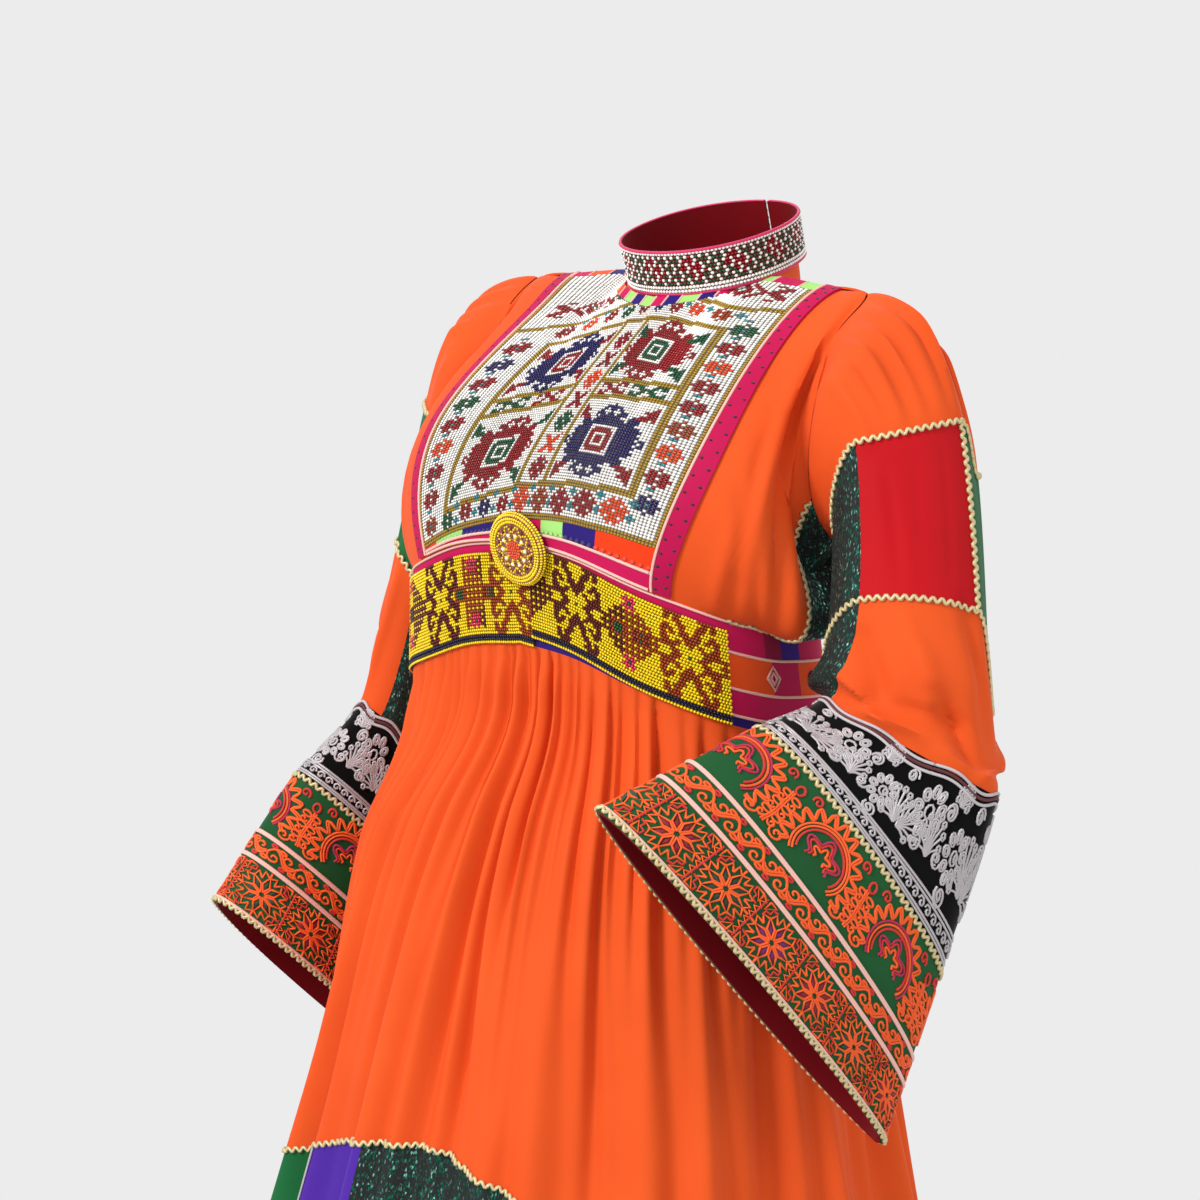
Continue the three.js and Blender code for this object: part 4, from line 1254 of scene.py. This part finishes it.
def add_bib_trims():
    """Piping along the strips and the bib's sides, and stitches on the borders and the low strip."""
    turns = np.linspace(-45.5, 45.5, 120)
    lifts = [strip_sheet.raised(turns, part, LAYER + 1.4) for part in (0.02, 0.46)]
    shares = np.linspace(STRIP_LOW, 0.995, 120)
    sides = [torso.raised(turn, shares, LAYER + CLOTH) for turn in (-46.3, 46.3)]
    lay_cords("bib_piping", lifts + sides, 2.3, cotton_thread, "pale")
    rise = np.linspace(BIB_TOP, YOKE_TOP, 8)
    strips = [torso.raised(start, rise, LAYER + CLOTH) for start, _ in SHOULDER_COLOURS[:-1]]
    lay_cords("shoulder_piping", strips, 1.6, cotton_thread, "pale")
    dots = [(side * (47.3 + 2.6 * (k % 2)), 0.03 + k * 0.021) for side in (-1, 1) for k in range(46)]
    spots = on_side(torso, *np.array(dots).T, LAYER + CLOTH)
    set_beads("border_stitches", spots, linear("#3A0620"), (2.0, 1.2, 0.6), cotton_thread)
    turn = np.array([turn for turn in np.arange(-44.5, BIB_HALF, 2.0) if not -8 < turn < 11])
    tints = [linear(STRIP_COLOURS[k][1]) for k in picked(STRIP_COLOURS, turn)]
    spots = on_side(strip_sheet, turn, 0.56, LAYER + 1.3)
    set_beads("strip_scallops", spots, tints, (2.6, 2.4, 0.8), cotton_thread)


def add_waist():
    levels = [0, 4, 8, 18, 28, 41, 55, 66, WAISTBAND_HIGH]
    cloth(
        "waist_cloth", band, lines(-180, 180, 1), levels, "patched", ["waistband"], "stretched",
        ["front", "back"], slot="embroidered_band", paint=paint_waist,
    )
    for name, side, start, end in (("left", stepped, 7.5, BELT_LEFT_END), ("right", band, -90, 7.5)):
        cloth(
            f"belt_{name}_ground", side, lines(start, end, 1), lines(1, BELT_HIGH, 3), "yellow",
            [f"belt_{name}"], "laid", ["waist_cloth"], (LAYER, GROUND_TOP),
        )
    turns = np.linspace(-180, 180, 241)[:-1]
    rims = [band.raised(turns, up, 0.4) for up in (8, 28, 55, 77)]
    lay_cords("waist_piping", rims, 2.2, cotton_thread, "pale", closed=True)
    boteh = [ring(0, 0, 6.5, 40, 330, 12, 0.8), np.array([(5, 4), (10, 8), (14, 7)])]
    diamond = np.array([(-7, 0), (0, 9), (7, 0), (0, -9), (-7, 0)])
    paths, threads = [], []
    for k, turn in enumerate(t for t in range(-170, 181, 16) if not -90 < t < BELT_LEFT_END):
        for shape in boteh if k % 2 else (diamond, diamond * 0.5):
            paths.append(band.raised(turn + shape[:, 0] / 3.1, 41.5 + shape[:, 1], 0.6))
            threads.append("navy" if k % 2 else "pale")
    lay_cords("waist_motifs", paths, 2.2, cotton_thread, threads)


SLEEVE_PATCHES = {
    "left": (("red", 0, 90), ("glitter", 90, 210), ("green", 210, 360)),
    "right": (("green", 0, 125), ("glitter", 125, 210), ("red", 210, 360)),
}
CUFF_BANDS = (
    ("velvet", 1, 1.3),
    ("green", 1.3, 1.6),
    ("vine", 1.6, 1.73),
    ("star", 1.73, 2),
)
INNER = {"left": (90, 210), "right": (125, 210)}  # where the glitter runs down the arm


def add_sleeve(name, arm):
    """One sleeve from the armhole to the cuff's hem, with ric-rac on the seams of its patches."""

    def tube(piece, look, start, end, rows, nodes, held, under, wall=(-CLOTH, 0)):
        names = [f"{node}_{name}" for node in nodes]
        cloth(f"{piece}_{name}", arm, lines(start, end, 3), rows, look, names, held, under, wall)

    cap, forearm = [f"cap_{name}"], [f"forearm_{name}"]
    tube("cap", "orange", 0, 360, lines(0, PATCH_FROM, 0.01), ["sleeve_cap"], "gathered", ["front", "back"])
    for look, start, end in SLEEVE_PATCHES[name]:
        rows = lines(PATCH_FROM, PATCH_TO, 0.014)
        tube(f"arm_{look}", look, start, end, rows, [f"sleeve_{look}"], "hung", cap)
    rows = lines(PATCH_TO, 1, 0.015)
    start, end = INNER[name]
    tube("forearm", "orange", end - 360, start, rows, ["sleeve_lower"], "hung", cap)
    tube("forearm_inner", "glitter", start, end, rows, [], "hung", [f"arm_glitter_{name}"])
    for part, top, foot in CUFF_BANDS:
        look = "velvet" if part == "velvet" else "stitched"
        tube(part, look, 0, 360, lines(top, foot, 0.03), [f"cuff_{part}"], "hung", forearm)
    inside = -2 * CLOTH - LAYER, -CLOTH - LAYER
    tube("lining", "lining", 0, 360, lines(1.3, 2, 0.05), ["cuff_lining"], "hung", [f"star_{name}"], inside)
    trims = []
    for _, start, end in SLEEVE_PATCHES[name]:
        around = np.linspace(start, end, 60)
        trims += [run_on(arm, around, at) for at in (PATCH_FROM, PATCH_TO)]
    down = np.linspace(PATCH_FROM, PATCH_TO, 60)
    trims += [run_on(arm, seam, down) for seam in (0, INNER[name][1])]
    ric_rac(f"sleeve_ric_rac_{name}", trims)


STAR_PHASE = {"left": 0.35, "right": 0.1}


STAR_TOP, STAR_FOOT = 1.742, 1.975
PETAL_REACH = 10


def add_embroidery(name, arm):
    """The cuff's needlework: silver couching, medallions, a vine and stars, between lines of trim."""
    cuff, phase = Cuff(arm), STAR_PHASE[name]
    names, paths = cuff.places(couching_repeat, COUCH_PITCH, VELVET_HIGH, 1.02, 1.29, 0.7)
    lay_cords(f"couching_{name}", paths, 2.1, metal_thread, names, sides=4)
    names, paths = [], []
    for motif, pitch, high, top, foot in (
        (medal_repeat, MEDAL_PITCH, MEDAL_HIGH, 1.315, 1.59),
        (vine_repeat, VINE_PITCH, VINE_HIGH, 1.612, 1.718),
        (star_square, STAR_PITCH, STAR_HIGH, STAR_TOP, STAR_FOOT),
    ):
        more_names, more_paths = cuff.places(motif, pitch, high, top, foot, 0.5, phase)
        names += more_names
        paths += more_paths
    lay_cords(f"needlework_{name}", paths, 2.1, cotton_thread, names, sides=4)
    middle = (STAR_TOP + STAR_FOOT) / 2
    number = cuff.count(STAR_PITCH, middle)
    star = np.repeat(np.arange(number), 8)
    turn = np.radians(np.tile(45 * np.arange(8), number))
    around = cuff.around((star + phase + PETAL_REACH * np.cos(turn) / STAR_PITCH) / number)
    lift = STAR_HIGH / 2 + PETAL_REACH * np.sin(turn)
    along = STAR_FOOT - (STAR_FOOT - STAR_TOP) * lift / STAR_HIGH
    spots = arm.raised(around, along, 0.2)
    run = spots - arm.surface(cuff.around((star + phase) / number), middle)
    tints = [linear(PETAL_TINTS[(k * 3) % 8]) for k in star]
    beads = spots, arm.normal(around, along), run
    set_beads(f"star_petals_{name}", beads, tints, (7.4, 3.4, 0.5), cotton_thread, PETAL)
    white = [ringed(arm, at, 0.7) for at in (1.6, 1.607, 1.725, 1.733, 1.978)]
    striped = [ringed(arm, at, 0.8, sway=0.009) for at in (1.002, 1.014, 1.026)]
    threads = ["pale"] * len(white) + ["silver", "maroon", "silver"]
    lay_cords(
        f"cuff_piping_{name}", white + striped, 2.5, cotton_thread, threads, closed=True
    )
    trims = [run_on(arm, np.linspace(0, 360, 240), at) for at in (1.3, 1.99)]
    ric_rac(f"cuff_ric_rac_{name}", trims)


HEM_PATCHES = (
    ("glitter_front", -10, "glitter"),
    ("orange_left", 30, "orange"),
    ("red_left", 57.5, "red"),
    ("green_left", 82.5, "green"),
    ("purple_left", 107.5, "purple"),
    ("glitter_back", 135, "glitter"),
    ("orange_back", 170, "orange"),
    ("green_back", 200, "green"),
    ("purple_back", 225, "purple"),
    ("glitter_right", 252.5, "glitter"),
    ("red_right", 285, "red"),
    ("green_right", 310, "green"),
    ("purple_right", 327.5, "purple"),
    ("end", 350, None),
)
WAIST_LEVEL = -300
SKIRT_SEAM = (PATCH_TOP - WAIST_LEVEL) / (HEM_LEVEL - WAIST_LEVEL)


def add_skirt():
    """Four gathered widths, the row of patches under them, and the trims on their seams."""
    for name, start in (("front_left", 0), ("back_left", 90), ("back_right", 180), ("front_right", 270)):
        grid = lines(start, start + 90, 0.6), lines(0, SKIRT_SEAM, 0.011)
        cloth(f"width_{name}", skirting, *grid, "orange", [f"skirt_{name}"], "gathered", ["waist_cloth"])
    trims = []
    for (name, start, look), (_, end, _) in zip(HEM_PATCHES, HEM_PATCHES[1:]):
        grid = lines(start, end, 0.6), lines(SKIRT_SEAM, 1, 0.03)
        cloth(f"patch_{name}", skirting, *grid, look, [f"hem_{name}"], "hung", ["width_front_left"])
        if look != "orange":
            trims.append(run_on(skirting, np.linspace(start, end, 80), SKIRT_SEAM, 0.6))
    ric_rac("skirt_ric_rac", trims)
    turn = HEM_PATCHES[-2][1]
    drops = np.linspace(SKIRT_SEAM, 0.995, 120)
    silver = [skirting.raised(turn + off, drops, 0.8) for off in (-1.3, -0.9, 0.9, 1.3)]
    silver.append(skirting.raised(turn + 0.6 * np.sin(np.arange(120) * 1.2), drops, 0.8))
    lay_cords("hem_silver_band", silver, 1.9, metal_thread, "silver", sides=4)


def add_body_trims():
    """Gold ric-rac where the gores join the front and back, and along the blouse's lower edge."""
    shares = np.linspace(0.01, 0.97, 90)
    runs = [run_on(torso_cloth, turn, shares) for turn in (GORE_FROM, GORE_TO, -GORE_FROM, -GORE_TO)]
    runs += [run_on(torso_cloth, way * np.linspace(66, GORE_FROM, 30), 0.006) for way in (-1, 1)]
    ric_rac("gore_ric_rac", runs)


LOZENGE = full_motif([
    "11.11.00000000.0",
    "11.11.0000000.00",
    "...11.00000000..",
    "11111.0000000...",
    "1111..00000000..",
    "......0000000...",
    "00000000000.....",
    "000000000000....",
    "0000000.0000....",
    "00000....00.....",
    "00.0000.........",
    "0...000.........",
    "00.00...........",
    "0000............",
    "0...............",
])
STAR = ["...0...", ".00.00.", ".00000.", "0001000", ".00000.", ".00.00.", "...0..."]
BIG_STAR = [
    "...0.0...",
    "..00000..",
    ".0.000.0.",
    "000000000",
    ".0001000.",
    "000000000",
    ".0.000.0.",
    "..00000..",
    "...0.0...",
]
DOT = [".0.", "000", ".0."]
HOOK = ["0000....00000", "00.00..000..0", "....00000....", "0..000..00.00", "00000....0000"]
CROSSED = ["000...000", ".000.000.", "..00000..", "...000...", "..00000..", ".000.000.", "000...000"]
CORNER = ["0000.0", ".00000", "...000", "..0000", "....00", ".....0"]
TOP_HOOK = full_motif([
    "1.00..0000..",
    ".100.00.000.",
    "000.00...000",
    "00.00.....00",
    "0..0....00..",
])

BIB_COLUMNS = 108
BIB_PITCH = 2.2
BIB_ROWS = 126
FRAME_COLUMNS = (12, 98)
BAND_COLUMNS = (49, 63)
FRAME_ROWS = (10, 81)
BAND_ROWS = (44, 51)
TOP_LINE = 91
CHART_RISE = 8  # rows that the frame climbs from the wearer's right to the left
STAR_COLOURS = "rorgrnrobr"


def stamp_cell(chart, bottom, top, a, b, body, heart, corner):
    """A lozenge with a checked heart, and a stepped triangle in each corner of its cell."""
    stamp(chart, LOZENGE, (bottom + top) // 2, (a + b) // 2, {"0": body, "1": heart})
    pattern = np.array([list(line) for line in CORNER])
    for row, flip in ((bottom + 5, -1), (top - 5, 1)):
        stamp(chart, pattern[::flip], row, b - 4, {"0": corner})
        stamp(chart, pattern[::flip, ::-1], row, a + 5, {"0": corner})


def bib_frame():
    """The gilt lines of the bib's chart, before the frame climbs."""
    chart = np.full((BIB_ROWS, BIB_COLUMNS), "w")
    left, right = FRAME_COLUMNS
    low, high = FRAME_ROWS
    for column in (left, left + 1, right - 1, right):
        chart[low : high + 1, column] = "k"
    for column in BAND_COLUMNS:
        chart[low : high + 1, column : column + 2] = "k"
    for row in (low, high - 1):
        chart[row : row + 2, left : right + 1] = "k"
    for row in BAND_ROWS:
        chart[row : row + 2, left : BAND_COLUMNS[0] + 1] = "k"
        chart[row : row + 2, BAND_COLUMNS[1] : right + 1] = "k"
    chart[TOP_LINE : TOP_LINE + 2] = "k"
    return chart


def fill_frame(chart):
    """The four lozenge cells, the hooks between them and the stars down the middle band."""
    left, right = FRAME_COLUMNS
    low, high = FRAME_ROWS
    halves = (left + 1, BAND_COLUMNS[0]), (BAND_COLUMNS[1] + 1, right - 1)
    for k, (a, b) in enumerate(halves):
        for j, (bottom, top) in enumerate(((low + 1, BAND_ROWS[0]), (BAND_ROWS[1] + 1, high - 1))):
            colours = ("n", "r", "r") if k != j else ("r", "g", "g")
            stamp_cell(chart, bottom, top, a, b, *colours)
    middle = BAND_ROWS[0] + 4
    for column, colour in ((left + 10, "g"), (left + 26, "r"), (right - 25, "r"), (right - 10, "g")):
        stamp(chart, HOOK, middle, column, {"0": colour})
    centre = sum(BAND_COLUMNS) // 2 + 1
    for k, row in enumerate(range(low + 7, high - 3, 9)):
        stamp(chart, CROSSED if k % 2 else BIG_STAR, row, centre, {"0": "rogrorrn"[k % 8], "1": "w"})


def climb(column):
    """How many rows the frame has climbed at a column."""
    return round((column / BIB_COLUMNS - 0.5) * CHART_RISE)


def bib_chart():
    """The bib's beads, row 0 at its lower edge and column 0 at the wearer's right."""
    chart = bib_frame()
    fill_frame(chart)
    low = FRAME_ROWS[0]
    sheared = np.full_like(chart, "w")
    for column in range(BIB_COLUMNS):
        foot = low + climb(column)
        kept = chart[low : BIB_ROWS - CHART_RISE, column]
        sheared[foot : foot + len(kept), column] = kept
    for column in (0, BIB_COLUMNS - 1):
        sheared[:, column] = "k"
    sheared[0:2] = "k"
    for k, row in enumerate(range(7, TOP_LINE - 5, 9)):
        for column, lift in ((5, -2), (BIB_COLUMNS - 6, 5)):
            stamp(sheared, STAR, row + lift, column, {"0": STAR_COLOURS[(k + lift) % 10], "1": "tw"[k % 2]})
            stamp(sheared, [["t", "t"]], row + lift + 5, column, {})
    for k, column in enumerate(range(14, BIB_COLUMNS - 10, 10)):
        rise = climb(column)
        colour = STAR_COLOURS[(k + 3) % 10]
        stamp(sheared, BIG_STAR if column > 50 else STAR, 6 + rise // 2, column, {"0": colour, "1": "w"})
        stamp(sheared, STAR, TOP_LINE - 4 + rise, column, {"0": STAR_COLOURS[k % 10], "1": "w"})
        for row in (4, 9, TOP_LINE - 2):
            stamp(sheared, DOT, row + rise // 2 + 1, column + 5, {"0": "t"})
    for column, colour, heart in ((15, "r", "g"), (38, "g", "w"), (70, "g", "w"), (93, "r", "g")):
        rise = climb(column)
        stamp(sheared, TOP_HOOK, TOP_LINE + 10 + rise, column, {"0": colour, "1": heart})
    return sheared


def chest_speed(turn):
    """Millimetres of cloth for each unit of share, near the bib's lower edge."""
    near = 0.02
    run = bodice(turn, BIB_LOW + near) - bodice(turn, BIB_LOW - near)
    return np.linalg.norm(run, axis=-1) / (2 * near)


BEAD_FOOT = 5.5
BEAD_SLOPE = 0.28


def bead_line(turn):
    """Height in millimetres above the bib node's lower edge where its beads begin: the beadwork
    hangs lower on the wearer's right."""
    return BEAD_FOOT + BEAD_SLOPE * np.asarray(turn, float)


def bib_foot(turn):
    return BIB_LOW + bead_line(turn) / chest_speed(turn)


bib_sheet = Side(lambda turn, part: bodice(turn, mix(bib_foot(turn), BIB_TOP, part)))
strip_sheet = Side(lambda turn, part: bodice(turn, mix(STRIP_LOW, bib_foot(turn), part)), step=(0.5, 0.05))


def add_bib_beads():
    chart = bib_chart()
    turns = np.linspace(-45.6, 45.6, BIB_COLUMNS)
    parts = np.linspace(0, 1, 500)
    columns, tints = [], []
    for column, turn in enumerate(turns):
        line = bib_sheet.surface(np.full_like(parts, turn), parts)
        height = arc(line[:, None], 0)[:, 0]
        rows = (np.arange(BIB_ROWS) + 0.5) * BIB_PITCH
        rows = rows[rows < height[-1] - 0.6]
        at = np.interp(rows, height, parts)
        columns.append(on_side(bib_sheet, turn, at, GROUND_TOP + BEAD_LIFT))
        tints += [BEAD_TINTS[key] for key in chart[: len(rows), column]]
    spots = [np.concatenate(group) for group in zip(*columns)]
    reach = np.linalg.norm(spots[2], axis=-1) * (turns[1] - turns[0])
    sizes = np.stack([0.59 * reach, np.full_like(reach, 1.32), np.full_like(reach, 1.25)], -1)
    set_beads("bib_beads", spots, tints, sizes, glass_beads)


COLLAR_COLUMNS = 150
COLLAR_ROWS = 11


def collar_key(row, k):
    """A white net over dark green with dark-red lozenges, and whole white rows at foot and top."""
    if row < 2 or row == COLLAR_ROWS - 1 or (k + row) % 4 == 0 or (k - row) % 4 == 0:
        return "w"
    return "r" if abs((k + row / 2) % 12 - 6) + abs(row - 6) < 4 else "g"


def add_collar_beads():
    rows, keys = [], []
    for row in range(COLLAR_ROWS):
        turns = np.linspace(-178, 177, COLLAR_COLUMNS) + (row % 2) * 1.2
        up = 1.6 + row * (COLLAR_HIGH - 3.4) / (COLLAR_ROWS - 1)
        rows.append(on_side(neck, turns, up, STIFF - 1 + (0.7 if row < 2 else BEAD_LIFT)))
        keys += [collar_key(row, k) for k in range(COLLAR_COLUMNS)]
    tints = [BEAD_TINTS[key] for key in keys]
    sizes = [(1.75, 1.6, 1.6) if key == "w" else (1.5, 1.4, 1.1) for key in keys]
    spots = [np.concatenate(group) for group in zip(*rows)]
    set_beads("collar_beads", spots, tints, sizes, glass_beads)
    edges = [neck.raised(np.linspace(-178, 178, 240), up, STIFF - 1) for up in (-0.6, COLLAR_HIGH - 0.4)]
    lay_cords("collar_piping", edges, 2.6, cotton_thread, "pink")


HOOKED_CROSS = full_motif([
    "1y.000....",
    "yyy.000...",
    ".y...00000",
    "0...000000",
    "00.00..000",
    "000.....00",
    "0000.00.00",
    ".000..0000",
    "..00...00.",
    "..000.....",
    "...000.00.",
    "....00.00.",
    "...000000.",
    "....0000..",
])
FLOWER = [".p.p.", "ppppp", ".pgp.", "ppppp", ".p.p."]


def stamp_wing(chart, row, column, way, key):
    """A dotted triangular wing beside a cross, its point at a column and its stem running away."""
    for step in range(12):
        half = int(2 + step * 0.85)
        for up in range(-half, half + 1):
            dotted = step % 2 == 0 and up % 2 == 1
            if not dotted:
                chart[row + up, (column + way * step) % chart.shape[1]] = key
    for step in range(12, 17):
        for up in range(-2, 3):
            inside = abs(up) < 2 and 12 < step < 16
            chart[row + up, (column + way * step) % chart.shape[1]] = "g" if inside else key


BELT_ROWS = 29
BELT_PITCH = 2.35
BELT_MARGIN = 60  # columns charted past each end, for motifs that the belt's end cuts off


def belt_chart(columns, centres):
    """Beads of one half of the belt; centres are (column, cross colour, wing colour)."""
    wide = np.full((BELT_ROWS, columns + 2 * BELT_MARGIN), "y")
    for column, cross, wing in centres:
        for way in (-1, 1):
            stamp_wing(wide, 16, column + BELT_MARGIN + way * 10, way, wing)
        stamp(wide, HOOKED_CROSS, 16, column + BELT_MARGIN, {"0": cross, "1": "g"})
    for (one, _, _), (two, _, _) in zip(centres, centres[1:]):
        for row in (7, 25):
            stamp(wide, FLOWER, row, (one + two) // 2 + BELT_MARGIN)
    wide[1:3] = "d"
    return wide[:, BELT_MARGIN : BELT_MARGIN + columns]


def add_belt_beads():
    halves = (
        ("belt_left_beads", stepped, 7.9, 71.6, ((31, "m", "m"), (62.7, "b", "b"))),
        ("belt_right_beads", band, -89.6, 7.1, ((-77, "b", "b"), (-40.5, "m", "m"), (-3, "b", "b"))),
    )
    for name, side, start, end, motifs in halves:
        fine = np.linspace(start, end, 400)
        run = arc(side.surface(fine, BELT_HIGH / 2)[:, None], 0)[:, 0]
        columns = int(run[-1] / BELT_PITCH)
        turns = np.interp(np.linspace(0, run[-1], columns), run, fine)
        centres = [(int(np.interp(t, turns, np.arange(columns))), cross, wing) for t, cross, wing in motifs]
        chart = belt_chart(columns, centres)
        ups = 1.2 + np.arange(BELT_ROWS) * (BELT_HIGH - 2) / (BELT_ROWS - 1)
        turn, up = np.meshgrid(turns, ups)
        turn = turn + (np.arange(BELT_ROWS)[:, None] % 2) * 0.25
        spots = on_side(side, turn.ravel(), up.ravel(), GROUND_TOP + BEAD_LIFT)
        tints = [BEAD_TINTS[key] for key in chart.ravel()]
        set_beads(name, spots, tints, (1.5, 1.42, 1.5), glass_beads)


CLASP_PROFILE = [(0, 0), (26, 0), (28, 2), (26, 5), (20, 5.5), (8, 6.5), (0, 7)]
CLASP_SIDES = 48
CLASP_RINGS = ((27.4, 2.2, 78), (26.2, 4.4, 74), (23.6, 5.6, 68), (21.2, 5.6, 62))
CLASP_PETALS = 10
ROUND, OVAL, SMALL = (1.35, 1.2, 1.3), (1.0, 0.9, 1.0), (1.2, 1.2, 1.2)


def clasp_rows():
    """The clasp's beads as (radius, turn, height, size, colour): a rim, a flower of petals that widen
    and close again, and an orange heart."""
    beads = []
    for radius, height, count in CLASP_RINGS:
        beads += [(radius, 360 * k / count, height, ROUND, "y") for k in range(count)]
    for k in range(CLASP_PETALS):
        turn = 360 * k / CLASP_PETALS
        beads += [(r, turn + way * (r - 7) * 1.3, 6.3, OVAL, "y") for r in (8, 10, 12) for way in (-1, 1)]
        beads += [(r, turn + way * (19.5 - r) * 2.6, 6, OVAL, "y") for r in (14, 16, 18) for way in (-1, 1)]
        beads += [(11.6, turn, 6.4, (1.6, 1.6, 1.7), "w"), (16.5, turn + 18, 6, (1.5, 1.5, 1.2), "m")]
    for radius, count in ((0, 1), (2.2, 6), (4.4, 12), (6, 16)):
        beads += [(radius, 360 * k / count, 6.8, SMALL, "o") for k in range(count)]
    return beads


def add_medallion():
    """The clasp: a gilt and maroon boss with a beaded flower, in a rim of yellow beads."""
    seat = band.raised(CLASP_TURN, CLASP_UP, CLASP_OFF)
    out = band.normal(CLASP_TURN, CLASP_UP)
    across = np.cross((0, 0, 1), out)
    across /= np.linalg.norm(across)
    up = np.cross(out, across)
    boss = turned_shape("clasp_boss", CLASP_PROFILE, CLASP_SIDES)
    local = np.array([vertex.co for vertex in boss.data.vertices])
    boss.data.vertices.foreach_set("co", ((seat + local @ np.stack([across, up, out])) * MM).ravel())
    boss.data.materials.append(lacquered("maroon_lacquer", "#6A1410", "#A8762A"))
    bpy.context.scene.collection.objects.link(boss)
    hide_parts("clasp")
    keep(boss)
    radius, turn, height, sizes, keys = zip(*clasp_rows())
    radius, height = np.array(radius, float)[:, None], np.array(height, float)[:, None]
    turn = np.radians(np.array(turn, float))[:, None]
    ray = np.cos(turn) * across + np.sin(turn) * up
    outs = out + ray * np.where(radius > 25, 0.7, 0.0)
    tints = [BEAD_TINTS[key] for key in keys]
    spots = seat + ray * radius + out * height, outs, ray
    set_beads("clasp_beads", spots, tints, sizes, glass_beads, ROUND_BEAD)


add_bodice()
add_bib()
add_bib_trims()
add_body_trims()
add_waist()
for arm_name, arm_side in arms.items():
    add_sleeve(arm_name, arm_side)
    add_embroidery(arm_name, arm_side)
add_skirt()
add_bib_beads()
add_collar_beads()
add_belt_beads()
add_medallion()

CAMERA_TURN = 43.85
CAMERA_RISE = 8.0
CAMERA_AWAY = 2.8
CAMERA_AIM = Vector((-0.018, -0.106, -0.251))
LENS_MM = 112.2
SENSOR_MM = 36


def add_camera():
    """The photo's own view."""
    turn, rise = math.radians(CAMERA_TURN), math.radians(CAMERA_RISE)
    back = Vector((math.sin(turn) * math.cos(rise), -math.cos(turn) * math.cos(rise), math.sin(rise)))
    camera = bpy.data.objects.new("camera", bpy.data.cameras.new("camera"))
    camera.data.lens = LENS_MM
    camera.data.sensor_width = SENSOR_MM
    camera.location = CAMERA_AIM + back * CAMERA_AWAY
    camera.rotation_mode = "QUATERNION"
    camera.rotation_quaternion = (-back).to_track_quat("-Z", "Y")
    bpy.context.scene.collection.objects.link(camera)
    bpy.context.scene.camera = camera


FLOOR_LEVEL = -1.36
FLOOR_HALF = 60
BACKDROP = "#ECECEC"
LAMP_AIM = Vector((0, -0.05, -0.45))
LAMPS = (
    ("key", (-0.5, -3.0, 1.9), 1.0, 105),
    ("fill", (3.2, -0.4, 0.9), 2.0, 16),
    ("rim", (-1.8, 1.6, 1.6), 2.0, 14),
)


def add_studio():
    """A pale seamless backdrop that glows as the world does, and lamps with a key from the front."""
    bpy.context.scene.view_settings.view_transform = "Standard"
    finish, tree = new_finish("pale_backdrop")
    shader = add_node(tree, "ShaderNodeEmission", {"Color": linear(BACKDROP), "Strength": 1.0})
    add_node(tree, "ShaderNodeOutputMaterial", {"Surface": shader.outputs[0]})
    floor = bpy.data.meshes.new("floor")
    around = ((-1, -1), (1, -1), (1, 1), (-1, 1))
    corners = [(x * FLOOR_HALF, y * FLOOR_HALF, FLOOR_LEVEL) for x, y in around]
    floor.from_pydata(corners, [], [(0, 1, 2, 3)])
    floor.materials.append(finish)
    new_piece("floor", floor)
    world = bpy.data.worlds.new("studio")
    world.use_nodes = True
    world.node_tree.nodes["Background"].inputs["Color"].default_value = linear(BACKDROP)
    world.node_tree.nodes["Background"].inputs["Strength"].default_value = 1.0
    bpy.context.scene.world = world
    for name, place, size, power in LAMPS:
        lamp = bpy.data.lights.new(name, "AREA")
        lamp.energy, lamp.size = power, size
        light = new_piece(name, lamp)
        light.location = place
        light.rotation_mode = "QUATERNION"
        light.rotation_quaternion = (LAMP_AIM - Vector(place)).to_track_quat("-Z", "Y")


add_camera()
add_studio()
